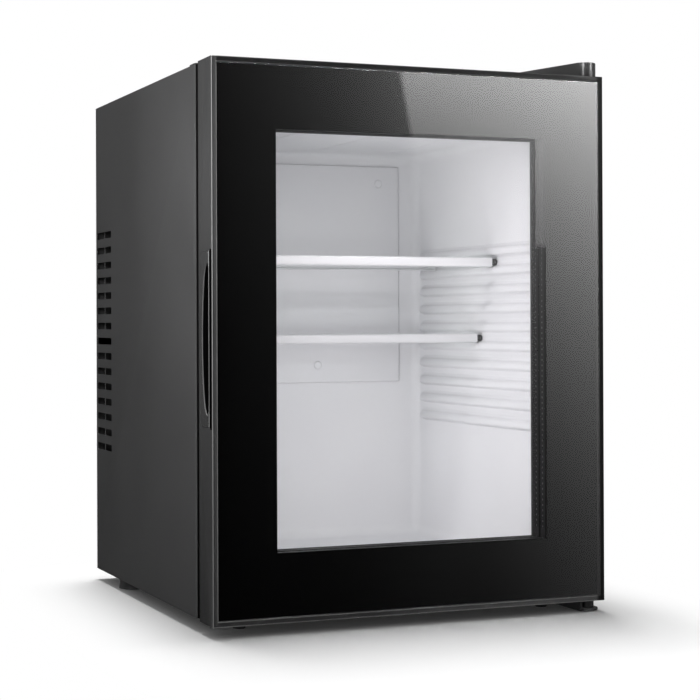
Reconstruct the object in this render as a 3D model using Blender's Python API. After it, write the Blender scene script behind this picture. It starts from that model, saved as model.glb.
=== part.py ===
"""Glass door minibar fridge of about 37 litres, as separate sub-parts in metres, +Z up.

The front faces -Y and the hinges are on the +X side. The origin is on the floor, under the middle of the body.
"""

import math

import bmesh
import bpy
from mathutils import Vector

# Cabinet
WIDTH = 0.400
CABINET_HEIGHT = 0.507
CABINET_DEPTH = 0.371
FOOT_HEIGHT = 0.0125
SHEET = 0.0012
SIDE_WALL = 0.049
TOP_WALL = 0.0485
BOTTOM_WALL = 0.0315
FRONT_FLANGE = 0.012
FRONT_EDGE_RADIUS = 0.0050
REAR_FLANGE = 0.010
REAR_EDGE_RADIUS = 0.0022
RAIL_DEPTH = 0.023
RAIL_RISE = 0.0012

# Clearances
FIT = 0.0003
OVERSHOOT = 0.002
RUNNING_GAP = 0.001

# Vents in both side panels
VENT_COUNT = 15
VENT_PITCH = 0.0164
VENT_HEIGHT = 0.0074
VENT_LENGTH = 0.0605
VENT_RADIUS = 0.0022
VENT_LOWEST = 0.1359
VENT_REAR_MARGIN = 0.006

# Inner liner and its shelf ridges
LINER_WALL = 0.002
LINER_RADIUS = 0.011
RIDGE_COUNT = 10
RIDGE_PITCH = 0.0196
RIDGE_HEIGHT = 0.009
RIDGE_REACH = 0.006
RIDGE_TAPER = 0.0008
RIDGE_LOWEST = 0.1307
RIDGE_FRONT_GAP = 0.006
RIDGE_REAR_GAP = 0.010
RIDGE_END_SLOPE = 0.008

# Cover panel on the back wall of the liner
PANEL_WIDTH = 0.253
PANEL_HEIGHT = 0.241
PANEL_THICK = 0.003
PANEL_EDGE = 0.0012
PANEL_BELOW_CEILING = 0.014
CAP_RADIUS = 0.0048
CAP_THICK = 0.0016
CAP_TOP_INSET = 0.019
CAP_TOP_SPREAD = 0.101
CAP_BOTTOM_SPREAD = 0.0276

# Lamp under the liner's ceiling
LAMP_WIDTH = 0.090
LAMP_DEPTH = 0.022
LAMP_THICK = 0.0036
LAMP_SETBACK = 0.024

# Shelves
SHELF_DEPTH = 0.147
SHELF_GLASS = 0.004
SHELF_SIDE_PLAY = 0.0015
TRIM_HEIGHT = 0.0095
TRIM_DEPTH = 0.010
TRIM_BELOW = 0.0015
TRIM_GROOVE = 0.007
TRIM_RADIUS = 0.002
UPPER_SHELF_RIDGE = 8
LOWER_SHELF_RIDGE = 4
UPPER_SHELF_REAR_GAP = 0.0508
LOWER_SHELF_REAR_GAP = 0.0158

# Cooling unit
COOLER_BELOW_CEILING = 0.170
COLD_SINK_SIDE = 0.120
COLD_SINK_BASE = 0.006
COLD_FIN_DEPTH = 0.009
COLD_FIN_COUNT = 11
COLD_FIN_THICK = 0.0016
COLD_OPENING_MARGIN = 0.005
STEM_SIDE = 0.060
STEM_LENGTH = 0.007
MODULE_SIDE = 0.040
MODULE_THICK = 0.0038
HEAT_SINK_WIDTH = 0.200
HEAT_SINK_HEIGHT = 0.180
HEAT_SINK_BASE = 0.006
HEAT_FIN_DEPTH = 0.020
HEAT_FIN_COUNT = 14
HEAT_FIN_THICK = 0.0018
FAN_SIDE = 0.092
FAN_DEPTH = 0.025
FAN_REAR_GAP = 0.0058
FAN_CORNER = 0.005
FAN_WALL = 0.002
FAN_HUB = 0.018
FAN_TIP_GAP = 0.0025
FAN_BLADES = 7
BLADE_CHORD = 0.022
BLADE_THICK = 0.0016
BLADE_PITCH_DEG = 33.0
ROTOR_INSET = 0.0055
STRUT_WIDTH = 0.005
STRUT_THICK = 0.003

# Rear cover, power board and mains inlet
GRILLE_ROWS = 9
GRILLE_PITCH = 0.010
GRILLE_SLOT = 0.005
GRILLE_WIDTH = 0.084
BOARD_BOX_WIDTH = 0.110
BOARD_BOX_HEIGHT = 0.060
BOARD_BOX_DEPTH = 0.045
BOARD_BOX_LEFT = 0.090
INLET_WIDTH = 0.048
INLET_HEIGHT = 0.027
INLET_DEPTH = 0.022
INLET_SOCKET_WIDTH = 0.024
INLET_SOCKET_HEIGHT = 0.016
INLET_SOCKET_DEPTH = 0.016
INLET_FROM_SIDE = 0.075
INLET_ABOVE_BASE = 0.100

# Feet
FRONT_FOOT_RADIUS = 0.006
FRONT_FOOT_INSET = 0.042
FRONT_FOOT_SETBACK = 0.0065
REAR_FOOT_RADIUS = 0.0175
REAR_FOOT_FLARE = 0.0012
REAR_FOOT_INSET = 0.022
REAR_FOOT_MARGIN = 0.079

# Door
DOOR_THICK = 0.0404
DOOR_GAP = 0.0055
DOOR_DROP = 0.0015
DOOR_RISE = 0.0015
DOOR_LIP = 0.005
DOOR_EDGE_RADIUS = 0.0012
PROFILE_WIDTH = 0.0545
FRONT_GLASS = 0.004
FRONT_GLASS_INSET = 0.0005
PRINT_THICK = 0.0003
PRINT_GAP = 0.0002
MIDDLE_GLASS = 0.003
INNER_GLASS = 0.003
SPACER_DEPTH = 0.009
SPACER_WIDTH = 0.0068
SPACER_SETBACK = 0.0012
BEAD_WIDTH = 0.0025
BEAD_DEPTH = 0.004
GASKET_INSET = 0.014
GASKET_WIDTH = 0.024
TONGUE_WIDTH = 0.004
TONGUE_DEPTH = 0.0045

# Handle set into the door's free edge
HANDLE_CENTRE = 0.257
HANDLE_LENGTH = 0.1586
HANDLE_FRONT = 0.0062
HANDLE_WIDTH = 0.0270
HANDLE_DEPTH = 0.017
HANDLE_RADIUS = 0.003
GROOVE_FRONT = 0.0045
GROOVE_DEPTH = 0.004
LIP_FRONT = 0.0080
SLOT_LENGTH = 0.1358
SLOT_FRONT = 0.0100
SLOT_BOW = 0.0204
SLOT_DEPTH = 0.0150

# Hinges
PIVOT_FROM_SIDE = 0.012
PIVOT_FROM_FRONT = 0.013
PIN_RADIUS = 0.003
PIN_PLAY = 0.0003
PIN_REACH = 0.012
PIN_HEAD_RADIUS = 0.005
PIN_HEAD = 0.0015
BUSH_RADIUS = 0.0057
BUSH_LENGTH = 0.0140
HINGE_PLATE = 0.0025
COVER_RADIUS = 0.010
COVER_HEIGHT = 0.0143
COVER_WALL = 0.0018
COVER_BACK = 0.092
COVER_SPREAD = 0.0443
COVER_EDGE = 0.0010
COVER_DOOR_GAP = 0.0006
BRACKET_INSET = 0.003
SCREW_RADIUS = 0.0025
SCREW_HEAD_RADIUS = 0.0045
SCREW_HEAD = 0.0025
SCREW_LENGTH = 0.012
SCREW_HOLE_PLAY = 0.0003
UPPER_SCREWS = ((0.017, 0.060), (0.024, 0.077))
LOWER_SCREWS = ((0.046, 0.080), (0.031, 0.080))
LOWER_WEB_INSET = 0.023
LOWER_WEB_FRONT = 0.008
LOWER_WEB_BACK = 0.090
LOWER_WEB_TAPER = 0.060
LOWER_FLANGE_WIDTH = 0.032
LOWER_FLANGE_DEPTH = 0.024
LOWER_PLATE_FRONT = 0.004
LOWER_PLATE_RADIUS = 0.009
LOWER_PLATE_RISE = 0.0008
FLOOR_GAP = 0.0003
SHOULDER_RADIUS = 0.006

ROUND_SIDES = 24
SMALL_SIDES = 12
CORNER_STEPS = 3
SLOT_STEPS = 12
NOSE_STEPS = 10
HEAD_TOP_SHARE = 0.8

# Planes worked out from the sizes above
HALF = WIDTH / 2
DEPTH = DOOR_THICK + DOOR_GAP + CABINET_DEPTH
DOOR_FRONT = -DEPTH / 2
DOOR_BACK = DOOR_FRONT + DOOR_THICK
CABINET_FRONT = DOOR_BACK + DOOR_GAP
CABINET_BACK = CABINET_FRONT + CABINET_DEPTH
CABINET_BOTTOM = FOOT_HEIGHT
CABINET_TOP = CABINET_BOTTOM + CABINET_HEIGHT
DOOR_BOTTOM = CABINET_BOTTOM - DOOR_DROP
DOOR_TOP = CABINET_TOP + DOOR_RISE
INNER_HALF = HALF - SIDE_WALL
INNER_FLOOR = CABINET_BOTTOM + BOTTOM_WALL
INNER_CEILING = CABINET_TOP - TOP_WALL
FAN_BORE = FAN_SIDE / 2 - FAN_WALL
FAN_FRONT = CABINET_BACK - SHEET - FAN_REAR_GAP - FAN_DEPTH
HEAT_SINK_FRONT = FAN_FRONT - FIT - HEAT_FIN_DEPTH - HEAT_SINK_BASE
MODULE_FRONT = HEAT_SINK_FRONT - FIT - MODULE_THICK
FOAM_BACK = MODULE_FRONT - 2 * FIT
COLD_SINK_BACK = FOAM_BACK - STEM_LENGTH
INNER_BACK = COLD_SINK_BACK - COLD_SINK_BASE - COLD_FIN_DEPTH - LINER_WALL
COOLER_Z = INNER_CEILING - COOLER_BELOW_CEILING
PANEL_FRONT = INNER_BACK - FIT - PANEL_THICK
PIVOT_X = HALF - PIVOT_FROM_SIDE
PIVOT_Y = DOOR_FRONT + PIVOT_FROM_FRONT
RAIL_TOP = CABINET_TOP + RAIL_RISE
PLATE_LOW = DOOR_TOP + RUNNING_GAP
PLATE_TOP = PLATE_LOW + HINGE_PLATE
GLASS_FRONT = DOOR_FRONT + FRONT_GLASS_INSET
GLASS_BACK = GLASS_FRONT + FRONT_GLASS
PRINT_FRONT = GLASS_BACK + PRINT_GAP
FRONT_SPACER_Y = PRINT_FRONT + PRINT_THICK + FIT
MIDDLE_GLASS_Y = FRONT_SPACER_Y + SPACER_DEPTH + FIT
REAR_SPACER_Y = MIDDLE_GLASS_Y + MIDDLE_GLASS + FIT
INNER_GLASS_Y = REAR_SPACER_Y + SPACER_DEPTH + FIT
PANE_EDGE = PROFILE_WIDTH + FIT
SPACER_EDGE = PANE_EDGE + SPACER_SETBACK
WINDOW_MARGIN = SPACER_EDGE + SPACER_WIDTH
TONGUE_INSET = GASKET_INSET + (GASKET_WIDTH - TONGUE_WIDTH) / 2


def material(name, colour, roughness, metallic=0.0, transmission=0.0):
    """One Principled material, made once under each name."""
    made = bpy.data.materials.get(name)
    if made is None:
        made = bpy.data.materials.new(name)
        made.use_nodes = True
        shader = made.node_tree.nodes["Principled BSDF"]
        shader.inputs["Base Color"].default_value = (*colour, 1.0)
        shader.inputs["Roughness"].default_value = roughness
        shader.inputs["Metallic"].default_value = metallic
        shader.inputs["Transmission Weight"].default_value = transmission
    return made


def painted_steel():
    return material("painted_steel", (0.030, 0.031, 0.033), 0.42)


def black_plastic():
    return material("black_plastic", (0.020, 0.020, 0.022), 0.38)


def white_plastic():
    return material("white_plastic", (0.86, 0.87, 0.88), 0.35)


def bare_metal():
    return material("bare_metal", (0.62, 0.63, 0.64), 0.35, metallic=1.0)


def aluminium():
    return material("aluminium", (0.72, 0.73, 0.74), 0.40, metallic=1.0)


def clear_glass():
    return material("clear_glass", (0.90, 0.95, 0.93), 0.03, transmission=1.0)


def black_print():
    return material("black_print", (0.006, 0.006, 0.007), 0.20)


def gasket_rubber():
    return material("gasket_rubber", (0.045, 0.045, 0.048), 0.75)


def foot_rubber():
    return material("foot_rubber", (0.025, 0.025, 0.026), 0.80)


def foam_yellow():
    return material("foam_yellow", (0.80, 0.70, 0.42), 0.90)


def module_ceramic():
    return material("module_ceramic", (0.88, 0.88, 0.86), 0.55)


def lens_plastic():
    return material("lens_plastic", (0.95, 0.95, 0.93), 0.25, transmission=0.4)


def place(name, shape, finish, origin, carrier=None):
    """An object from a bmesh in world coordinates, with its origin at the given point."""
    bmesh.ops.translate(shape, verts=shape.verts, vec=-Vector(origin))
    bmesh.ops.recalc_face_normals(shape, faces=shape.faces)
    mesh = bpy.data.meshes.new(name)
    shape.to_mesh(mesh)
    shape.free()
    mesh.materials.append(finish)
    mesh.shade_smooth()
    mesh.set_sharp_from_angle(angle=math.radians(35))
    made = bpy.data.objects.new(name, mesh)
    bpy.context.scene.collection.objects.link(made)
    made.parent = carrier
    made.location = Vector(origin) - (carrier.location if carrier else Vector())
    return made


def axis_empty(name, location):
    """An empty that carries what moves, on its joint's axis."""
    made = bpy.data.objects.new(name, None)
    made.location = location
    bpy.context.scene.collection.objects.link(made)
    return made


def helper(name, shape, finish):
    """A shape that only cuts or joins, left out of every render."""
    made = place(name, shape, finish, (0.0, 0.0, 0.0))
    made.hide_render = True
    made.display_type = "WIRE"
    return made


def boolean(target, tool, operation):
    step = target.modifiers.new(f"{operation.lower()}_{tool.name}", "BOOLEAN")
    step.operation = operation
    step.object = tool


def cut(target, name, shape):
    boolean(target, helper(name, shape, target.data.materials[0]), "DIFFERENCE")


def join(target, name, shape):
    boolean(target, helper(name, shape, target.data.materials[0]), "UNION")


def box(low, high):
    shape = bmesh.new()
    bmesh.ops.create_cube(shape, size=1.0)
    low = Vector(low)
    span = Vector(high) - low
    for corner in shape.verts:
        corner.co = Vector(low[i] + (corner.co[i] + 0.5) * span[i] for i in range(3))
    return shape


def middle(low, high):
    return (Vector(low) + Vector(high)) / 2


def block(name, low, high, finish, carrier=None):
    return place(name, box(low, high), finish, middle(low, high), carrier)


def in_plane(edge, axis, value):
    """Whether an edge lies in a plane square to an axis."""
    return all(abs(end.co[axis] - value) < FIT for end in edge.verts)


def runs_along(edge, axis):
    step = edge.verts[1].co - edge.verts[0].co
    return abs(step[axis]) > 0.99 * step.length


def soften(shape, edges, radius, steps):
    """Rounds the given edges."""
    bmesh.ops.bevel(shape, geom=edges, offset=radius, segments=steps, affect="EDGES", profile=0.5)
    return shape


def gather(shapes):
    """Several closed shapes in one bmesh."""
    whole = bmesh.new()
    for shape in shapes:
        mesh = bpy.data.meshes.new("gathered")
        shape.to_mesh(mesh)
        shape.free()
        whole.from_mesh(mesh)
        bpy.data.meshes.remove(mesh)
    return whole


def on_axis(a, b, along, axis):
    return {"X": (along, a, b), "Y": (a, along, b), "Z": (a, b, along)}[axis]


def prism(outline, axis, start, end):
    """An outline of (a, b) points, drawn square to an axis and extruded along it."""
    shape = bmesh.new()
    low = [shape.verts.new(on_axis(a, b, start, axis)) for a, b in outline]
    high = [shape.verts.new(on_axis(a, b, end, axis)) for a, b in outline]
    shape.faces.new(low)
    shape.faces.new(high)
    count = len(outline)
    for i in range(count):
        after = (i + 1) % count
        shape.faces.new((low[i], low[after], high[after], high[i]))
    return shape


def arc(a, b, radius, start_deg, end_deg, steps):
    angles = [math.radians(start_deg + (end_deg - start_deg) * i / steps) for i in range(steps + 1)]
    return [(a + radius * math.cos(t), b + radius * math.sin(t)) for t in angles]


def rounded(a0, a1, b0, b1, radius, steps=CORNER_STEPS):
    """Outline of a rectangle with four round corners."""
    corners = ((a1, b1, -1, -1, 0), (a0, b1, 1, -1, 90), (a0, b0, 1, 1, 180), (a1, b0, -1, 1, 270))
    outline = []
    for a, b, into_a, into_b, start in corners:
        outline += arc(a + into_a * radius, b + into_b * radius, radius, start, start + 90, steps)
    return outline


def circle(a, b, radius, sides):
    return arc(a, b, radius, 0, 360, sides)[:-1]


def turned(profile, centre, axis="Z", sides=ROUND_SIDES, bored=False):
    """A profile of (radius, height) points turned about an axis, and closed on itself if bored."""
    shape = bmesh.new()
    cross = (centre[0], centre[2]) if axis == "Y" else (centre[0], centre[1])
    rings = []
    for radius, height in profile:
        if radius == 0:
            rings.append([shape.verts.new(on_axis(*cross, height, axis))])
            continue
        around = circle(*cross, radius, sides)
        rings.append([shape.verts.new(on_axis(a, b, height, axis)) for a, b in around])
    pairs = list(zip(rings, rings[1:]))
    if bored:
        pairs.append((rings[-1], rings[0]))
    for lower, upper in pairs:
        for i in range(sides):
            after = (i + 1) % sides
            corners = [lower[i % len(lower)], lower[after % len(lower)]]
            corners += [upper[after % len(upper)], upper[i % len(upper)]]
            unique = list(dict.fromkeys(corners))
            if len(unique) > 2:
                shape.faces.new(unique)
    return shape


def ring(profile, half, low, high):
    """A profile of (inset, y) points run round an upright rectangle, with mitred corners."""
    shape = bmesh.new()
    corners = []
    for side_x, side_z in ((-1, -1), (1, -1), (1, 1), (-1, 1)):
        line = []
        for inset, y in profile:
            z = low + inset if side_z < 0 else high - inset
            line.append(shape.verts.new((side_x * (half - inset), y, z)))
        corners.append(line)
    count = len(profile)
    for here, after in zip(corners, corners[1:] + corners[:1]):
        for i in range(count):
            j = (i + 1) % count
            shape.faces.new((here[i], here[j], after[j], after[i]))
    return shape


def door_ring(inset_low, inset_high, y_low, y_high):
    """A flat band round the door, between two insets from its edges."""
    profile = ((inset_low, y_low), (inset_high, y_low), (inset_high, y_high), (inset_low, y_high))
    return ring(profile, HALF, DOOR_BOTTOM, DOOR_TOP)


def side_section(side):
    """Plan outline of a side panel: a sheet with a rolled front edge and flanges folded in at both ends."""
    front, back = CABINET_FRONT, CABINET_BACK
    outer_front, outer_back = FRONT_EDGE_RADIUS, REAR_EDGE_RADIUS
    inner_front, inner_back = outer_front - SHEET, outer_back - SHEET
    outline = [(HALF - FRONT_FLANGE, front)]
    outline += arc(HALF - outer_front, front + outer_front, outer_front, -90, 0, 2 * CORNER_STEPS)
    outline += arc(HALF - outer_back, back - outer_back, outer_back, 0, 90, CORNER_STEPS)
    outline += [(HALF - REAR_FLANGE, back), (HALF - REAR_FLANGE, back - SHEET)]
    outline += arc(HALF - outer_back, back - outer_back, inner_back, 90, 0, CORNER_STEPS)
    outline += arc(HALF - outer_front, front + outer_front, inner_front, 0, -90, 2 * CORNER_STEPS)
    outline += [(HALF - FRONT_FLANGE, front + SHEET)]
    return [(side * x, y) for x, y in outline]


def vent_slots(side):
    slots = []
    back = CABINET_BACK - VENT_REAR_MARGIN
    for row in range(VENT_COUNT):
        z = CABINET_BOTTOM + VENT_LOWEST + row * VENT_PITCH
        outline = rounded(back - VENT_LENGTH, back, z - VENT_HEIGHT / 2, z + VENT_HEIGHT / 2, VENT_RADIUS, 2)
        inside, outside = side * (HALF - SHEET - OVERSHOOT), side * (HALF + OVERSHOOT)
        slots.append(prism(outline, "X", inside, outside))
    return gather(slots)


def inside_plan(front, back):
    """Plan of a piece that fills the body between its side panels, clear of their bends."""
    half = HALF - SHEET - FIT
    large, small = FRONT_EDGE_RADIUS, REAR_EDGE_RADIUS - SHEET
    right = arc(half - large, front + large, large, -90, 0, 2 * CORNER_STEPS)
    right += arc(half - small, back - small, small, 0, 90, CORNER_STEPS)
    return right + [(-x, y) for x, y in reversed(right)]


def side_panels():
    for name, side in (("left", -1), ("right", 1)):
        shape = prism(side_section(side), "Z", CABINET_BOTTOM, CABINET_TOP)
        origin = (side * HALF, 0.0, CABINET_BOTTOM)
        panel = place(f"side_panel_{name}", shape, painted_steel(), origin)
        cut(panel, f"vents_{name}", vent_slots(side))


def upper_screw_points():
    return [(HALF - inset, DOOR_FRONT + setback) for inset, setback in UPPER_SCREWS]


def lower_screw_points():
    return [(HALF - inset, DOOR_FRONT + setback) for inset, setback in LOWER_SCREWS]


def screw_holes(points, low, high):
    radius = SCREW_RADIUS + SCREW_HOLE_PLAY
    return gather(prism(circle(x, y, radius, SMALL_SIDES), "Z", low, high) for x, y in points)


def outer_sheets():
    """Top panel, the raised strip along its front, base pan and rear cover."""
    plan = inside_plan(CABINET_FRONT + LINER_WALL + FIT, CABINET_BACK - SHEET - FIT)
    shape = prism(plan, "Z", CABINET_TOP - SHEET, CABINET_TOP)
    top = place("top_panel", shape, painted_steel(), (0.0, CABINET_FRONT, CABINET_TOP))
    points = upper_screw_points()
    cut(top, "top_panel_screw_holes", screw_holes(points, CABINET_TOP - OVERSHOOT, CABINET_TOP + OVERSHOOT))

    outline = rounded(-HALF, HALF, CABINET_FRONT, CABINET_FRONT + RAIL_DEPTH, FRONT_EDGE_RADIUS)
    shape = prism(outline, "Z", CABINET_TOP + FIT, RAIL_TOP)
    rail = place("top_front_rail", shape, black_plastic(), (0.0, CABINET_FRONT, CABINET_TOP))
    cut(rail, "rail_screw_holes", screw_holes(points, CABINET_TOP - OVERSHOOT, RAIL_TOP + OVERSHOOT))

    shape = prism(plan, "Z", CABINET_BOTTOM, CABINET_BOTTOM + SHEET)
    base = place("base_pan", shape, painted_steel(), (0.0, CABINET_FRONT, CABINET_BOTTOM))
    points = lower_screw_points()
    cut(base, "base_screw_holes", screw_holes(points, CABINET_BOTTOM - OVERSHOOT, CABINET_BOTTOM + OVERSHOOT))

    side = HALF - REAR_FLANGE - FIT
    low, high = (-side, CABINET_BACK - SHEET, CABINET_BOTTOM), (side, CABINET_BACK, CABINET_TOP)
    cover = block("rear_cover", low, high, painted_steel())
    cut(cover, "rear_grille", grille_slots())
    cut(cover, "inlet_hole", inlet_block(FIT, CABINET_BACK + OVERSHOOT))


def grille_slots():
    slots = []
    for row in range(GRILLE_ROWS):
        z = COOLER_Z + (row - (GRILLE_ROWS - 1) / 2) * GRILLE_PITCH
        low = (-GRILLE_WIDTH / 2, CABINET_BACK - SHEET - OVERSHOOT, z - GRILLE_SLOT / 2)
        high = (GRILLE_WIDTH / 2, CABINET_BACK + OVERSHOOT, z + GRILLE_SLOT / 2)
        slots.append(box(low, high))
    return gather(slots)


def inlet_block(margin, back):
    x, z = INLET_FROM_SIDE - HALF, CABINET_BOTTOM + INLET_ABOVE_BASE
    half_x, half_z = INLET_WIDTH / 2 + margin, INLET_HEIGHT / 2 + margin
    front = CABINET_BACK - INLET_DEPTH - margin
    return box((x - half_x, front, z - half_z), (x + half_x, back, z + half_z))


def mains_inlet():
    x, z = INLET_FROM_SIDE - HALF, CABINET_BOTTOM + INLET_ABOVE_BASE
    origin = (x, CABINET_BACK, z)
    inlet = place("mains_inlet", inlet_block(0.0, CABINET_BACK), black_plastic(), origin)
    half_x, half_z = INLET_SOCKET_WIDTH / 2, INLET_SOCKET_HEIGHT / 2
    low = (x - half_x, CABINET_BACK - INLET_SOCKET_DEPTH, z - half_z)
    high = (x + half_x, CABINET_BACK + OVERSHOOT, z + half_z)
    cut(inlet, "inlet_socket", box(low, high))


def power_board_box():
    low_z = CABINET_BOTTOM + SHEET + FIT
    low = (-BOARD_BOX_LEFT, FOAM_BACK + FIT, low_z)
    high = (-BOARD_BOX_LEFT + BOARD_BOX_WIDTH, low[1] + BOARD_BOX_DEPTH, low_z + BOARD_BOX_HEIGHT)
    block("power_board_box", low, high, black_plastic())


def liner_box(margin, front, back):
    """The tub's shape, grown by a margin, with round corners everywhere but at its mouth."""
    low = (-INNER_HALF - margin, front, INNER_FLOOR - margin)
    high = (INNER_HALF + margin, back, INNER_CEILING + margin)
    shape = box(low, high)
    edges = [edge for edge in shape.edges if not in_plane(edge, 1, front)]
    return soften(shape, edges, LINER_RADIUS + margin, CORNER_STEPS + 1)


def ridge_z(number):
    """Underside of a ridge, counted from the lowest."""
    return INNER_FLOOR + RIDGE_LOWEST + number * RIDGE_PITCH


def bridge(first, last):
    """A closed shape between two outlines of as many points."""
    shape = bmesh.new()
    ends = [[shape.verts.new(point) for point in outline] for outline in (first, last)]
    shape.faces.new(ends[0])
    shape.faces.new(ends[1])
    for i in range(len(first)):
        after = (i + 1) % len(first)
        shape.faces.new((ends[0][i], ends[0][after], ends[1][after], ends[1][i]))
    bmesh.ops.recalc_face_normals(shape, faces=shape.faces)
    return shape


def ridge(side, number):
    """One shelf ridge of the liner, with a sloping rear end, rooted in the middle of the wall."""
    root, tip = side * (INNER_HALF + LINER_WALL / 2), side * (INNER_HALF - RIDGE_REACH)
    front = CABINET_FRONT + RIDGE_FRONT_GAP
    back = INNER_BACK - RIDGE_REAR_GAP
    low, high = ridge_z(number), ridge_z(number) + RIDGE_HEIGHT
    ends = []
    for x, taper, slope in ((root, 0.0, 0.0), (tip, RIDGE_TAPER, RIDGE_END_SLOPE)):
        far, under, over = back - slope, low + taper, high - taper
        ends.append([(x, front, under), (x, far, under), (x, far, over), (x, front, over)])
    return bridge(*ends)


def square_box(side, y_low, y_high):
    """A square block about the cooling unit's centre line."""
    half = side / 2
    return box((-half, y_low, COOLER_Z - half), (half, y_high, COOLER_Z + half))


def inner_liner():
    back = INNER_BACK + LINER_WALL
    shape = liner_box(LINER_WALL, CABINET_FRONT, back)
    liner = place("inner_liner", shape, white_plastic(), (0.0, CABINET_FRONT, INNER_FLOOR))
    half = HALF - FRONT_FLANGE - FIT
    low, high = (-half, CABINET_FRONT, CABINET_BOTTOM), (half, CABINET_FRONT + LINER_WALL, CABINET_TOP)
    join(liner, "liner_flange", box(low, high))
    cut(liner, "liner_hollow", liner_box(0.0, CABINET_FRONT - OVERSHOOT, INNER_BACK))
    ridges = [ridge(side, number) for side in (-1, 1) for number in range(RIDGE_COUNT)]
    join(liner, "liner_ridges", gather(ridges))
    opening = COLD_SINK_SIDE + 2 * COLD_OPENING_MARGIN
    cut(liner, "cooler_opening", square_box(opening, INNER_BACK - OVERSHOOT, back + OVERSHOOT))


def insulation_foam():
    plan = inside_plan(CABINET_FRONT + LINER_WALL + FIT, FOAM_BACK)
    low, high = CABINET_BOTTOM + SHEET + FIT, CABINET_TOP - SHEET - FIT
    shape = prism(plan, "Z", low, high)
    foam = place("insulation_foam", shape, foam_yellow(), (0.0, CABINET_FRONT, low))
    hollow = liner_box(LINER_WALL + FIT, CABINET_FRONT - OVERSHOOT, INNER_BACK + LINER_WALL + FIT)
    cut(foam, "foam_hollow", hollow)
    pocket = COLD_SINK_SIDE + 2 * COLD_OPENING_MARGIN
    cut(foam, "cooler_pocket", square_box(pocket, INNER_BACK, COLD_SINK_BACK + FIT))
    cut(foam, "stem_hole", square_box(STEM_SIDE + 2 * FIT, INNER_BACK, FOAM_BACK + OVERSHOOT))
    depth = SCREW_LENGTH + OVERSHOOT
    cut(foam, "foam_upper_holes", screw_holes(upper_screw_points(), PLATE_TOP - depth, CABINET_TOP))
    low_z = CABINET_BOTTOM - FIT - HINGE_PLATE
    cut(foam, "foam_lower_holes", screw_holes(lower_screw_points(), CABINET_BOTTOM, low_z + depth))


def back_wall_panel():
    """Cover over the cold sink on the liner's back wall, with its four screw caps."""
    top = INNER_CEILING - PANEL_BELOW_CEILING
    front, back = PANEL_FRONT, PANEL_FRONT + PANEL_THICK
    shape = box((-PANEL_WIDTH / 2, front, top - PANEL_HEIGHT), (PANEL_WIDTH / 2, back, top))
    soften(shape, [edge for edge in shape.edges if in_plane(edge, 1, front)], PANEL_EDGE, 2)
    place("cold_sink_cover", shape, white_plastic(), (0.0, back, top))
    upper, lower = top - CAP_TOP_INSET, top - PANEL_HEIGHT + CAP_TOP_INSET
    spots = {
        "upper_left": (-CAP_TOP_SPREAD, upper),
        "upper_right": (CAP_TOP_SPREAD, upper),
        "lower_left": (-CAP_BOTTOM_SPREAD, lower),
        "lower_right": (CAP_BOTTOM_SPREAD, lower),
    }
    seat = front - FIT
    for name, (x, z) in spots.items():
        profile = ((0, seat), (CAP_RADIUS, seat), (CAP_RADIUS, seat - CAP_THICK / 2))
        profile += ((CAP_RADIUS * HEAD_TOP_SHARE, seat - CAP_THICK), (0, seat - CAP_THICK))
        shape = turned(profile, (x, seat, z), "Y", SMALL_SIDES)
        place(f"screw_cap_{name}", shape, white_plastic(), (x, seat, z))


def lamp_lens():
    high_z = INNER_CEILING - FIT
    front = CABINET_FRONT + LAMP_SETBACK
    outline = rounded(-LAMP_WIDTH / 2, LAMP_WIDTH / 2, front, front + LAMP_DEPTH, LAMP_DEPTH / 4)
    shape = prism(outline, "Z", high_z - LAMP_THICK, high_z)
    place("lamp_lens", shape, lens_plastic(), (0.0, front + LAMP_DEPTH / 2, high_z))


def fin_comb(flat_y, root_y, tip_y, width, height, thick, count):
    """A plate with level fins on one side, as one extruded outline about the cooling unit's centre."""
    low = COOLER_Z - height / 2
    pitch = (height - thick) / (count - 1)
    outline = [(flat_y, low + height), (flat_y, low)]
    for number in range(count):
        z = low + number * pitch
        outline += [(tip_y, z), (tip_y, z + thick)]
        if number < count - 1:
            outline += [(root_y, z + thick), (root_y, z + pitch)]
    return prism(outline, "X", -width / 2, width / 2)


def cooling_unit():
    """Cold sink, thermoelectric module, heat sink and fan, one behind the other."""
    back = COLD_SINK_BACK
    root = back - COLD_SINK_BASE
    side, tip = COLD_SINK_SIDE, root - COLD_FIN_DEPTH
    shape = fin_comb(back, root, tip, side, side, COLD_FIN_THICK, COLD_FIN_COUNT)
    cold = place("cold_sink", shape, aluminium(), (0.0, back, COOLER_Z))
    join(cold, "cold_stem", square_box(STEM_SIDE, back - COLD_SINK_BASE / 2, FOAM_BACK + FIT))

    half = MODULE_SIDE / 2
    low = (-half, MODULE_FRONT, COOLER_Z - half)
    high = (half, MODULE_FRONT + MODULE_THICK, COOLER_Z + half)
    block("thermoelectric_module", low, high, module_ceramic())

    flat, root = HEAT_SINK_FRONT, HEAT_SINK_FRONT + HEAT_SINK_BASE
    tip = root + HEAT_FIN_DEPTH
    shape = fin_comb(flat, root, tip, HEAT_SINK_WIDTH, HEAT_SINK_HEIGHT, HEAT_FIN_THICK, HEAT_FIN_COUNT)
    place("heat_sink", shape, aluminium(), (0.0, flat, COOLER_Z))
    fan()


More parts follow.
